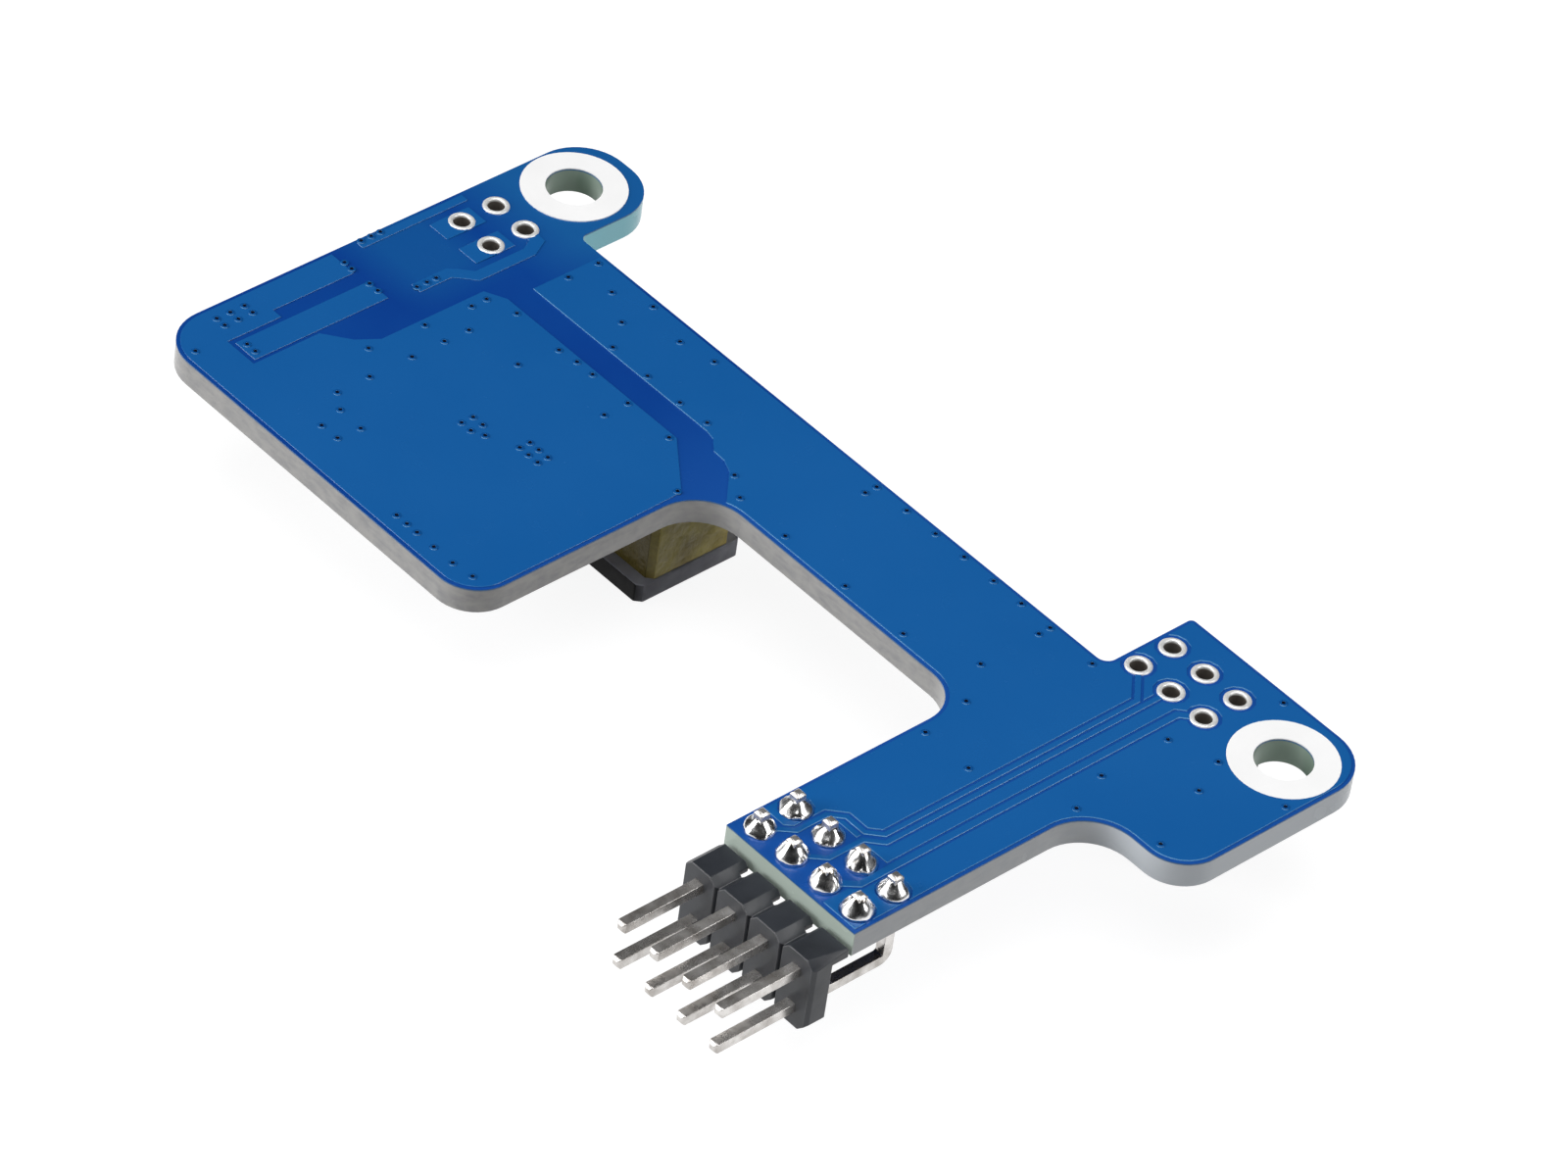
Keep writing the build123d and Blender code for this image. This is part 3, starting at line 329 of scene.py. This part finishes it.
def build_edge_mask(name, span, side=None):
    """A mask of a piece's corners, for painted highlights: of all of them, or of those that face one
    side.
    """
    group, start, end = new_group(
        name, [("Radius", "NodeSocketFloat")], [("Mask", "NodeSocketFloat")]
    )
    corner = group.nodes.new("ShaderNodeBevel")
    corner.samples = corner_rays
    group.links.new(start.outputs["Radius"], corner.inputs["Radius"])
    if side is None:
        side = group.nodes.new("ShaderNodeNewGeometry").outputs["Normal"]
    turned = facing(group, corner.outputs["Normal"], side)
    group.links.new(ramp(group, turned, span), end.inputs["Mask"])
    return group


patchy_colour = build_patchy_colour()
uneven_gloss = build_uneven_gloss()
surface_grain = build_surface_grain()
# Corner masks for painted highlights: on every corner, and on corners that face the bright side
corner_highlights = build_edge_mask("corner_highlights", corner_highlight_span)
lit_edges = build_edge_mask("lit_edges", lit_span, bright_side)


def effect(tree, group, **values):
    """What a shared effect gives in a material, with the material's own values."""
    node = tree.nodes.new("ShaderNodeGroup")
    node.node_tree = group
    for name, value in values.items():
        node.inputs[name].default_value = value
    return node.outputs[0]


# Materials
def finish(name, base, patch, patches, gloss, grain, metallic=0.0, specular=0.5, detail=5.0):
    """A material of patchy colour, uneven gloss and fine grain.

    Patches are counted in a metre. Gloss is the least and the most roughness and the patches of it
    in a metre, and grain is the bumps in a metre and their depth in millimetres.
    """
    material = bpy.data.materials.new(name)
    material.use_nodes = True
    tree = material.node_tree
    shader = tree.nodes["Principled BSDF"]
    shader.inputs["Metallic"].default_value = metallic
    shader.inputs["Specular IOR Level"].default_value = specular
    colour = effect(tree, patchy_colour, Base=base, Patch=patch, Scale=patches)
    tree.links.new(colour, shader.inputs["Base Color"])
    low, high, gloss_patches = gloss
    rough = effect(tree, uneven_gloss, Low=low, High=high, Scale=gloss_patches)
    tree.links.new(rough, shader.inputs["Roughness"])
    bumps, depth = grain
    normal = effect(tree, surface_grain, Scale=bumps, Depth=depth * MM, Detail=detail)
    tree.links.new(normal, shader.inputs["Normal"])
    return material


def lay_over(material, mask, colour):
    """Lay another colour over a material where a mask is set."""
    tree = material.node_tree
    shown = tree.nodes["Principled BSDF"].inputs["Base Color"]
    plain = shown.links[0].from_socket
    tree.links.new(mix_colour(tree, mask, plain, colour), shown)


def paint_edge_highlight(material, edges, radius, colour):
    """Paint a highlight of the given colour over a material at the corners that a shared effect picks
    out.
    """
    lay_over(material, effect(material.node_tree, edges, Radius=radius * MM), colour)


def around_mounting_holes(tree, x, y):
    """A mask of what lies close round the two mounting holes."""
    place = tree.nodes.new("ShaderNodeCombineXYZ")
    tree.links.new(maths(tree, "ABSOLUTE", x), place.inputs["X"])
    tree.links.new(y, place.inputs["Y"])
    reach = tree.nodes.new("ShaderNodeVectorMath")
    reach.operation = "DISTANCE"
    reach.inputs[1].default_value = (mounting_x * MM, 0, 0)
    tree.links.new(place.outputs["Vector"], reach.inputs[0])
    return along(tree, reach.outputs["Value"], hole_wall_reach)


def laminate_bands(tree):
    """A mask of the laminate's layers, as they show on a cut edge."""
    place = tree.nodes.new("ShaderNodeTexCoord")
    flattened = tree.nodes.new("ShaderNodeMapping")
    flattened.inputs["Scale"].default_value = laminate_layers
    tree.links.new(place.outputs["Object"], flattened.inputs["Vector"])
    layers = tree.nodes.new("ShaderNodeTexNoise")
    layers.inputs["Scale"].default_value = 1.0
    layers.inputs["Detail"].default_value = layer_detail
    tree.links.new(flattened.outputs["Vector"], layers.inputs["Vector"])
    return ramp(tree, layers.outputs["Fac"], layer_span)


def cut_edges(tree):
    """A mask of the board's upright faces."""
    way = tree.nodes.new("ShaderNodeTexCoord")
    split = tree.nodes.new("ShaderNodeSeparateXYZ")
    tree.links.new(way.outputs["Normal"], split.inputs["Vector"])
    return ramp(tree, maths(tree, "ABSOLUTE", split.outputs["Z"]), cut_edge_span)


def board_finish():
    """Blue mask on both faces, and bare laminate on every cut edge, with tints by place, several of them
    painted light.
    """
    material = finish(
        "board_mask_and_laminate", base=srgb(12, 60, 140), patch=srgb(14, 68, 146), patches=90,
        gloss=(0.2, 0.28, 500), grain=(2500, 0.004), specular=0.3,
    )
    tree = material.node_tree
    x, y, z = object_place(tree)
    power_end = along(tree, x, power_end_x)

    # The bare corner by the network-power socket lets more light through, painted as a paler blue
    corner_y = both(tree, along(tree, y, pale_corner_low_y), along(tree, y, pale_corner_high_y))
    pale_corner = both(tree, along(tree, x, pale_corner_x), corner_y)
    mask_tints = [
        (pale_corner, srgb(19, 81, 149)),
        # Painted light: a paler mask at the power lobe, where light comes through the board
        (both(tree, power_end, along(tree, y, power_lobe_mask_y)), srgb(24, 89, 153)),
        # Painted light: the mask lighter from the trunk to the right end, as the light falls
        (along(tree, x, trunk_x), srgb(24, 78, 156)),
        (along(tree, z, component_side_z), srgb(14, 80, 146)),
    ]
    for place, tint in mask_tints:
        lay_over(material, place, tint)

    laminate = effect(
        tree, patchy_colour, Base=srgb(168, 167, 166), Patch=srgb(150, 150, 152), Scale=1300
    )
    cut_tints = [
        (laminate_bands(tree), srgb(176, 175, 172)),
        # Painted light on the cut edges: pale cyan through the power lobe, and paler at the outer end and
        # the arm's end
        (both(tree, power_end, along(tree, y, power_lobe_cut_y)), srgb(160, 230, 244)),
        (along(tree, x, outer_end_x), srgb(206, 212, 218)),
        (along(tree, y, arm_end_y), srgb(186, 200, 190)),
        (around_mounting_holes(tree, x, y), srgb(136, 156, 142)),
        (along(tree, z, mask_bead_z), srgb(52, 104, 156)),
    ]
    for place, tint in cut_tints:
        laminate = mix_colour(tree, place, laminate, tint)
    lay_over(material, cut_edges(tree), laminate)
    return material


def copper_finish(name, edge_highlight):
    """Copper under the mask, whose edges facing the bright side carry a painted highlight of the given
    colour.
    """
    copper = finish(
        name, base=srgb(21, 89, 156), patch=srgb(25, 93, 160), patches=60,
        gloss=(0.2, 0.28, 600), grain=(3000, 0.004), specular=0.3,
    )
    paint_edge_highlight(copper, lit_edges, radius=0.1, colour=edge_highlight)
    return copper


def shade_hole_walls(material, colour):
    """Paint shade on the walls of the board's holes, but for their lower ends."""
    tree = material.node_tree
    z = object_place(tree)["Z"]
    inside = both(tree, along(tree, z, hole_shade_z), along(tree, z, hole_foot_z))
    lay_over(material, inside, colour)


def warm_tips(material, colour):
    """The cut ends of the pins, where a little copper shows through the solder."""
    tree = material.node_tree
    lay_over(material, along(tree, object_place(tree)["Z"], pin_tip_z), colour)


def shade_below_board(material, side, colour):
    """Darken the faces under the board that look one way, where little light comes in."""
    tree = material.node_tree
    place = object_place(tree)
    below = both(tree, along(tree, place["Z"], below_board_z), along(tree, place["Y"], behind_arm_end_y))
    way = tree.nodes.new("ShaderNodeTexCoord")
    shaded = ramp(tree, facing(tree, way.outputs["Normal"], side), shaded_side_span)
    lay_over(material, both(tree, shaded, below), colour)


board_mask = board_finish()
# Copper under the mask, each with its painted edge highlight
masked_copper = copper_finish("mask_over_copper", srgb(116, 174, 216))
quiet_copper = copper_finish("quiet_mask_over_copper", srgb(34, 104, 170))
white_print = finish(
    "white_print", base=srgb(252, 252, 252), patch=srgb(248, 248, 248), patches=300,
    gloss=(0.4, 0.5, 500), grain=(4000, 0.003),
)
tin = finish(
    "bright_tin", base=srgb(250, 250, 249), patch=srgb(240, 240, 238), patches=900,
    gloss=(0.3, 0.4, 900), grain=(1500, 0.004), metallic=0.35, detail=1.0,
)
shade_hole_walls(tin, srgb(104, 98, 92))
solder = finish(
    "bright_solder", base=srgb(242, 242, 242), patch=srgb(230, 230, 230), patches=900,
    gloss=(0.14, 0.26, 900), grain=(1100, 0.01), metallic=1.0, detail=0.0,
)
warm_tips(solder, srgb(240, 228, 212))
header_plastic = finish(
    "header_plastic", base=srgb(49, 52, 58), patch=srgb(40, 43, 48), patches=500,
    gloss=(0.32, 0.44, 900), grain=(6000, 0.006), specular=0.45,
)
# Painted highlight on every corner of the moulding
paint_edge_highlight(header_plastic, corner_highlights, radius=0.1, colour=srgb(150, 150, 152))
pin_metal = finish(
    "pin_metal", base=srgb(230, 227, 224), patch=srgb(180, 175, 170), patches=1100,
    gloss=(0.2, 0.36, 1500), grain=(1300, 0.008), metallic=0.8, detail=2.0,
)
shade_below_board(pin_metal, upward, srgb(120, 112, 106))
socket_plastic = finish(
    "socket_plastic", base=srgb(28, 28, 30), patch=srgb(20, 20, 22), patches=400,
    gloss=(0.4, 0.55, 800), grain=(5000, 0.008),
)
spring_metal = finish(
    "spring_metal", base=srgb(214, 190, 130), patch=srgb(190, 168, 118), patches=900,
    gloss=(0.2, 0.35, 900), grain=(2000, 0.01), metallic=1.0,
)
ferrite = finish(
    "ferrite", base=srgb(166, 166, 172), patch=srgb(144, 144, 150), patches=700,
    gloss=(0.5, 0.66, 900), grain=(3500, 0.01), specular=0.1,
)
shade_below_board(ferrite, pin_side, srgb(8, 8, 9))
bobbin_plastic = finish(
    "bobbin_plastic", base=srgb(34, 32, 32), patch=srgb(24, 23, 23), patches=500,
    gloss=(0.5, 0.6, 900), grain=(4000, 0.01),
)
coil_wire = finish(
    "coil_wire", base=srgb(150, 84, 44), patch=srgb(122, 64, 34), patches=1500,
    gloss=(0.25, 0.4, 900), grain=(5000, 0.03), metallic=0.6,
)
amber_tape = finish(
    "amber_tape", base=srgb(226, 210, 122), patch=srgb(170, 152, 86), patches=520,
    gloss=(0.3, 0.5, 600), grain=(1400, 0.2), specular=0.25,
)
shade_below_board(amber_tape, pin_side, srgb(80, 70, 26))
can_metal = finish(
    "can_aluminium", base=srgb(206, 207, 210), patch=srgb(190, 191, 195), patches=300,
    gloss=(0.25, 0.36, 500), grain=(2500, 0.006), metallic=1.0,
)
package_plastic = finish(
    "package_plastic", base=srgb(38, 38, 40), patch=srgb(30, 30, 32), patches=600,
    gloss=(0.5, 0.62, 900), grain=(7000, 0.01),
)
resistor_glaze = finish(
    "resistor_glaze", base=srgb(26, 26, 28), patch=srgb(18, 18, 20), patches=700,
    gloss=(0.3, 0.42, 900), grain=(4000, 0.006),
)
ceramic = finish(
    "ceramic", base=srgb(150, 122, 92), patch=srgb(132, 106, 80), patches=700,
    gloss=(0.42, 0.55, 900), grain=(4000, 0.01),
)
light_lens = finish(
    "light_lens", base=srgb(226, 228, 206), patch=srgb(206, 212, 180), patches=900,
    gloss=(0.12, 0.2, 900), grain=(3000, 0.004),
)
lead_metal = finish(
    "lead_metal", base=srgb(196, 196, 194), patch=srgb(168, 168, 166), patches=1100,
    gloss=(0.25, 0.42, 1200), grain=(2500, 0.01), metallic=1.0,
)
via_rim = finish(
    "via_rim", base=srgb(16, 82, 148), patch=srgb(12, 76, 142), patches=2000,
    gloss=(0.16, 0.24, 900), grain=(3000, 0.002),
)
# Painted highlight on the collars' edges that face the bright side
paint_edge_highlight(via_rim, lit_edges, radius=0.04, colour=srgb(120, 176, 216))
via_pit = finish(
    "via_pit", base=srgb(5, 14, 44), patch=srgb(3, 8, 26), patches=2000,
    gloss=(0.25, 0.4, 900), grain=(3000, 0.004),
)

slot_finishes = {
    "board_laminate": board_mask,
    "masked_copper": masked_copper,
    "white_print": white_print,
    "tin_plating": tin,
    "solder": solder,
    "header_plastic": header_plastic,
    "header_pin_metal": pin_metal,
    "socket_plastic": socket_plastic,
    "contact_metal": spring_metal,
    "ferrite": ferrite,
    "bobbin_plastic": bobbin_plastic,
    "coil_wire": coil_wire,
    "amber_tape": amber_tape,
    "can_aluminium": can_metal,
    "package_plastic": package_plastic,
    "resistor_body": resistor_glaze,
    "ceramic_body": ceramic,
    "light_lens": light_lens,
    "lead_metal": lead_metal,
}
slot_of = {part["node"]: part["material_slot"] for part in frame["record"]["subparts"]}
for name, slot in slot_of.items():
    for holder in nodes[name].material_slots:
        holder.material = slot_finishes[slot]


# Modelling
def deselect_all():
    """Leave nothing selected."""
    for thing in bpy.context.selected_objects:
        thing.select_set(False)


def make_active(thing):
    """Select one thing alone and work on it."""
    deselect_all()
    thing.select_set(True)
    bpy.context.view_layer.objects.active = thing


def settle(piece, name):
    """Name a finished piece, put its place in its mesh and fix it to the board."""
    make_active(piece)
    bpy.ops.object.transform_apply(location=True, rotation=True, scale=True)
    piece.name = name
    piece.data.name = name
    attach(piece, "root")


def softened(node, name, width, segments=2):
    """A copy of a CAD node whose corners are rounded a little, in its place."""
    piece = nodes[node].copy()
    piece.data = nodes[node].data.copy()
    piece.parent = None
    for key in list(piece.keys()):
        del piece[key]
    bpy.context.scene.collection.objects.link(piece)
    make_active(piece)
    bpy.ops.object.mode_set(mode="EDIT")
    bpy.ops.mesh.select_all(action="SELECT")
    bpy.ops.mesh.remove_doubles(threshold=weld_gap * MM)
    bpy.ops.mesh.dissolve_limited(angle_limit=math.radians(flat_angle))
    bpy.ops.object.mode_set(mode="OBJECT")
    bevel = piece.modifiers.new("corners", "BEVEL")
    bevel.width = width * MM
    bevel.segments = segments
    bevel.limit_method = "ANGLE"
    bevel.angle_limit = math.radians(corner_angle)
    bevel.use_clamp_overlap = True
    bpy.ops.object.modifier_apply(modifier="corners")
    if segments > 1:
        bpy.ops.object.shade_smooth_by_angle(angle=math.radians(smooth_angle))
        level = piece.modifiers.new("level_faces", "WEIGHTED_NORMAL")
        level.keep_sharp = True
        bpy.ops.object.modifier_apply(modifier="level_faces")
    settle(piece, name)
    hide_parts(node)
    return piece


# Nodes with softened corners: the node, the dressed piece, the corner's width and its steps where not two
softened_pieces = [
    ("header_bar", "header_bar_moulding", 0.05),
    ("header_near_pins", "header_near_pin_row", 0.04),
    ("header_far_pins", "header_far_pin_row", 0.04),
    ("transformer_far_core", "transformer_far_ferrite", 0.08),
    ("transformer_near_core", "transformer_near_ferrite", 0.08),
    ("transformer_tape", "transformer_tape_wrap", 0.06),
    ("bulk_capacitor_can", "bulk_capacitor_drawn_can", 0.12, 3),
    ("bulk_capacitor_base", "bulk_capacitor_seat", 0.12),
    ("bridge_rectifier_bodies", "bridge_rectifier_mouldings", 0.06),
    ("diode_bodies", "diode_mouldings", 0.05),
    ("switch_transistor_body", "switch_transistor_moulding", 0.05),
    ("optocoupler_body", "optocoupler_moulding", 0.05),
    ("shunt_reference_body", "shunt_reference_moulding", 0.04),
    ("chip_end_caps", "chip_end_plating", 0.05),
    ("chip_resistor_bodies", "chip_resistor_glaze", 0.03),
    ("ceramic_capacitor_bodies", "ceramic_capacitor_blocks", 0.04),
    ("component_face_solder", "component_face_fillets", 0.05),
    ("bridge_rectifier_leads", "bridge_rectifier_feet", 0.05),
    ("switch_transistor_leads", "switch_transistor_feet", 0.04),
    ("optocoupler_leads", "optocoupler_feet", 0.04),
    ("diode_lead_strips", "diode_feet", 0.04),
    ("transformer_pins", "transformer_feet", 0.05),
    ("signal_socket_body", "signal_socket_moulding", 0.06),
    ("power_socket_body", "power_socket_moulding", 0.06),
    ("low_voltage_copper", "low_voltage_pour", 0.025, 1),
    ("signal_track_copper", "signal_tracks", 0.025, 1),
]
for piece_values in softened_pieces:
    softened(*piece_values)

# The painted highlights on the edges of the copper at the network-power end are faint
high_voltage_pour = softened("high_voltage_copper", "high_voltage_pour", 0.025, 1)
high_voltage_pour.data.materials[0] = quiet_copper

# Small holes under the mask, read off the photo as x and y of each
via_places = [
    (-23.02, -3.36), (-23.02, -5.58), (-20.66, -4.4), (-18.4, -3.3), (-18.36, -5.66), (-17.0, -7.5),
    (-15.26, -4.06), (-14.04, -7.52), (-12.88, -3.6), (-11.32, -7.52), (-9.18, -7.4), (-5.0, -9.08),
    (-3.42, -10.08), (0.16, -3.22), (0.16, -4.08), (2.56, -3.18), (4.89, -3.17), (7.2, -3.17),
    (9.56, -3.17), (11.78, -3.17), (14.13, -3.22), (14.13, -4.07), (14.13, -8.35), (0.36, -10.14),
    (5.28, -10.17), (9.94, -10.17), (17.55, -3.32), (15.87, -11.02), (16.44, -14.5), (19.83, -14.5),
    (25.77, 3.12), (24.3, -4.1), (27.13, -3.08), (31.73, -2.55), (28.17, -5.52), (24.33, -9.03),
    (30.0, -10.08), (25.42, -11.88), (-24.12, -10.64), (-24.12, -11.74), (-22.24, -10.04),
    (-18.5, -10.16), (-17.16, -9.98), (-15.86, -9.98), (-12.9, -9.96), (-9.42, -9.98),
    (-12.88, -11.7), (-22.62, -13.2), (-18.84, -12.86), (-5.76, -12.56), (-24.32, -14.96),
    (-22.64, -14.96), (-22.62, -17.32), (-24.54, -18.84), (-22.62, -20.35), (-22.6, -22.67),
    (-21.38, -23.47), (-19.53, -23.55), (-20.92, -25.17), (-19.62, -25.12), (-29.68, -26.93),
    (-12.88, -26.55), (-12.02, -26.55), (-11.17, -26.55), (-9.75, -26.55), (-8.18, -26.55),
    (-6.73, -26.37), (-16.8, -17.82), (-16.0, -17.8), (-16.8, -18.66), (-16.0, -18.66),
    (-15.24, -18.28), (-31.03, -15.2), (-30.37, -15.22), (-28.82, -15.22), (-28.08, -15.22),
    (-28.55, -24.2), (-27.83, -24.2),
]
via_places += [(x, y) for x in (-13.4, -12.66, -11.9) for y in (-16.62, -17.36)]
via_places += [(x, y) for x in (-31.2, -30.5) for y in (-22.22, -23.23, -24.2)]
via_places += [(x, y) for x in (-27.12, -31.98) for y in (-11.8, -12.47, -13.2)]


def select_top(piece):
    """Select the faces of a piece in edit mode that look up."""
    bpy.ops.mesh.select_all(action="DESELECT")
    bpy.ops.object.mode_set(mode="OBJECT")
    for face in piece.data.polygons:
        face.select = face.normal.z > level_enough
    bpy.ops.object.mode_set(mode="EDIT")


def via_collar():
    """One small hole: a low collar of copper under the mask round a dark pit."""
    deselect_all()
    bpy.ops.mesh.primitive_cylinder_add(
        vertices=via_sides, radius=via_collar_r * MM, depth=via_collar_h * MM,
        location=(0, 0, via_collar_h / 2 * MM),
    )
    collar = bpy.context.object
    bpy.ops.object.mode_set(mode="EDIT")
    bpy.ops.mesh.select_mode(type="FACE")
    select_top(collar)
    bpy.ops.mesh.inset(thickness=via_slope_w * MM)
    bpy.ops.transform.translate(value=(0, 0, via_slope_h * MM))
    bpy.ops.mesh.inset(thickness=(via_collar_r - via_r - via_slope_w) * MM)
    bpy.ops.mesh.extrude_region_move(TRANSFORM_OT_translate={"value": (0, 0, -via_pit_depth * MM)})
    bpy.ops.object.mode_set(mode="OBJECT")
    collar.data.materials.append(via_rim)
    collar.data.materials.append(via_pit)
    pit_reach = via_r * via_pit_margin * MM
    for face in collar.data.polygons:
        face.material_index = 1 if face.center.xy.length < pit_reach else 0
    return collar


def lay_out(pattern, places, level, name, turn=0.0, heights=None):
    """Copies of one small form at many places, joined as one piece."""
    make_active(pattern)
    bpy.ops.object.transform_apply(location=True, rotation=True, scale=True)
    copies = []
    for (x, y), height in zip(places, heights or [1] * len(places)):
        copy = pattern.copy()
        copy.data = pattern.data.copy()
        copy.location = (x * MM, y * MM, level * MM)
        copy.rotation_euler = (turn, 0, 0)
        copy.scale.z = height
        bpy.context.scene.collection.objects.link(copy)
        copies.append(copy)
    bpy.data.objects.remove(pattern)
    deselect_all()
    for copy in copies:
        copy.select_set(True)
    bpy.context.view_layer.objects.active = copies[0]
    bpy.ops.object.join()
    piece = bpy.context.object
    bpy.ops.object.shade_smooth_by_angle(angle=math.radians(small_form_smooth_angle))
    settle(piece, name)
    return piece


lay_out(via_collar(), via_places, copper_top, "solder_face_vias")
lay_out(via_collar(), via_places, component_face, "component_face_vias", turn=math.pi)


def turned_form(profile, sides, material):
    """A round form drawn out ring by ring from radii and heights, with its double points welded."""
    deselect_all()
    radius, height = profile[0]
    bpy.ops.mesh.primitive_circle_add(
        vertices=sides, radius=radius * MM, location=(0, 0, height * MM), fill_type="NOTHING"
    )
    form = bpy.context.object
    bpy.ops.object.mode_set(mode="EDIT")
    bpy.ops.mesh.select_all(action="SELECT")
    for next_radius, next_height in profile[1:]:
        rise = (0, 0, (next_height - height) * MM)
        bpy.ops.mesh.extrude_edges_move(TRANSFORM_OT_translate={"value": rise})
        share = next_radius / radius
        bpy.ops.transform.resize(value=(share, share, 1), center_override=(0, 0, 0))
        radius, height = next_radius, next_height
    bpy.ops.mesh.select_all(action="SELECT")
    bpy.ops.mesh.remove_doubles(threshold=weld_gap * MM)
    bpy.ops.mesh.normals_make_consistent(inside=False)
    bpy.ops.object.mode_set(mode="OBJECT")
    form.data.materials.append(material)
    return form


def plated_hole():
    """A tinned barrel with a rolled rim on the solder face."""
    middle_r = (hole_wall_r + pad_r) / 2
    half_w = (pad_r - hole_wall_r) / 2
    outer_wall_r = hole_wall_r + barrel_wall
    roll = [math.pi * step / rim_steps for step in range(rim_steps + 1)]
    profile = [(hole_wall_r, component_face)]
    profile += [(middle_r - half_w * math.cos(a), rim_h * math.sin(a)) for a in roll]
    profile += [(outer_wall_r, 0.0), (outer_wall_r, component_face), (hole_wall_r, component_face)]
    return turned_form(profile, rim_sides, tin)


rims = lay_out(plated_hole(), signal_holes + power_holes, 0, "socket_hole_rims")
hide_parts("socket_hole_plating")


def solder_joint():
    """A bell of solder that climbs a pin and rounds off over its tip."""
    joint = turned_form(joint_profile, joint_sides, solder)
    make_active(joint)
    bpy.ops.object.mode_set(mode="EDIT")
    bpy.ops.mesh.select_all(action="SELECT")
    bpy.ops.mesh.remove_doubles(threshold=tip_weld_gap * MM)
    bpy.ops.object.mode_set(mode="OBJECT")
    return joint


def lumpy_joints():
    """The eight joints, each uneven in its own way."""
    lumps = bpy.data.textures.new("solder_lumps", "CLOUDS")
    lumps.noise_scale = lump_size * MM
    lumps.noise_depth = 1
    facets = bpy.data.textures.new("solder_facets", "VORONOI")
    facets.noise_scale = facet_size * MM
    facets.distance_metric = "DISTANCE"
    joints = lay_out(
        solder_joint(), joint_places, 0, "header_joint_bells", heights=joint_heights
    )
    for texture, height in ((lumps, lump_height), (facets, facet_height)):
        make_active(joints)
        uneven = joints.modifiers.new("uneven", "DISPLACE")
        uneven.texture = texture
        uneven.texture_coords = "LOCAL"
        uneven.strength = height * MM
        uneven.mid_level = 0.5
        bpy.ops.object.modifier_apply(modifier="uneven")
    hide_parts("header_solder_joints")


lumpy_joints()


# Room, lights and camera
def floor_finish():
    """Matt white that looks bright in the picture and in the metal, and isn't there from below."""
    material = bpy.data.materials.new("white_floor")
    material.use_nodes = True
    tree = material.node_tree
    shader = tree.nodes["Principled BSDF"]
    shader.inputs["Base Color"].default_value = (floor_colour, floor_colour, floor_colour, 1)
    shader.inputs["Roughness"].default_value = floor_rough
    shader.inputs["Specular IOR Level"].default_value = 0.0
    ray = tree.nodes.new("ShaderNodeLightPath").outputs
    seen = maths(tree, "MAXIMUM", ray["Is Camera Ray"], ray["Is Glossy Ray"])
    seen = maths(tree, "MAXIMUM", seen, ray["Is Transmission Ray"])
    glow = tree.nodes.new("ShaderNodeEmission")
    tree.links.new(maths(tree, "MULTIPLY", seen, floor_glow), glow.inputs["Strength"])
    glowing = tree.nodes.new("ShaderNodeAddShader")
    tree.links.new(shader.outputs["BSDF"], glowing.inputs[0])
    tree.links.new(glow.outputs["Emission"], glowing.inputs[1])
    surface = tree.nodes.new("ShaderNodeNewGeometry")
    clear = tree.nodes.new("ShaderNodeBsdfTransparent")
    open_below = tree.nodes.new("ShaderNodeMixShader")
    tree.links.new(surface.outputs["Backfacing"], open_below.inputs["Fac"])
    tree.links.new(glowing.outputs["Shader"], open_below.inputs[1])
    tree.links.new(clear.outputs["BSDF"], open_below.inputs[2])
    tree.links.new(open_below.outputs["Shader"], tree.nodes["Material Output"].inputs["Surface"])
    return material


def lay_floor():
    """A floor that takes the board's soft shadow."""
    deselect_all()
    bpy.ops.mesh.primitive_plane_add(size=floor_size * MM, location=(0, 0, floor_z * MM))
    floor = bpy.context.object
    floor.name = "floor"
    floor.data.materials.append(floor_finish())


def add_lamp(name, place, size, power):
    """A square soft lamp aimed at the middle of the board."""
    lamp = bpy.data.lights.new(name, "AREA")
    lamp.size = size * MM
    lamp.energy = power
    holder = bpy.data.objects.new(name, lamp)
    holder.location = Vector(place) * MM
    aim = (Vector(board_middle) - Vector(place)).to_track_quat("-Z", "Y")
    holder.rotation_euler = aim.to_euler()
    bpy.context.scene.collection.objects.link(holder)


def light_room():
    """A dim room with two darker walls for the metal to mirror, and a pale backdrop."""
    world = bpy.data.worlds.new("studio")
    bpy.context.scene.world = world
    world.use_nodes = True
    tree = world.node_tree
    way = tree.nodes.new("ShaderNodeTexCoord").outputs["Generated"]
    nearest = maths(tree, "MAXIMUM", *[facing(tree, way, wall) for wall in dark_walls])
    level = ramp(tree, nearest, dark_wall_span)
    level.node.inputs["To Min"].default_value = room_light
    level.node.inputs["To Max"].default_value = dark_wall_light
    seen = tree.nodes.new("ShaderNodeMix")
    seen.inputs["B"].default_value = backdrop_glow
    ray = tree.nodes.new("ShaderNodeLightPath").outputs
    tree.links.new(ray["Is Camera Ray"], seen.inputs["Factor"])
    tree.links.new(level, seen.inputs["A"])
    room = tree.nodes["Background"]
    room.inputs["Color"].default_value = (1, 1, 1, 1)
    tree.links.new(seen.outputs["Result"], room.inputs["Strength"])


def set_camera():
    """The camera that took the photo, in its place."""
    lens = bpy.data.cameras.new("camera")
    lens.lens = camera_lens
    lens.sensor_width = sensor_w
    lens.clip_start = nearest_seen * MM
    lens.clip_end = farthest_seen * MM
    camera = bpy.data.objects.new("camera", lens)
    camera.location = Vector(camera_place) * MM
    camera.rotation_euler = Euler([math.radians(angle) for angle in camera_turn])
    bpy.context.scene.collection.objects.link(camera)
    bpy.context.scene.camera = camera


lay_floor()
for lamp_values in lamps:
    add_lamp(*lamp_values)
light_room()
set_camera()
bpy.context.scene.view_settings.view_transform = "Standard"
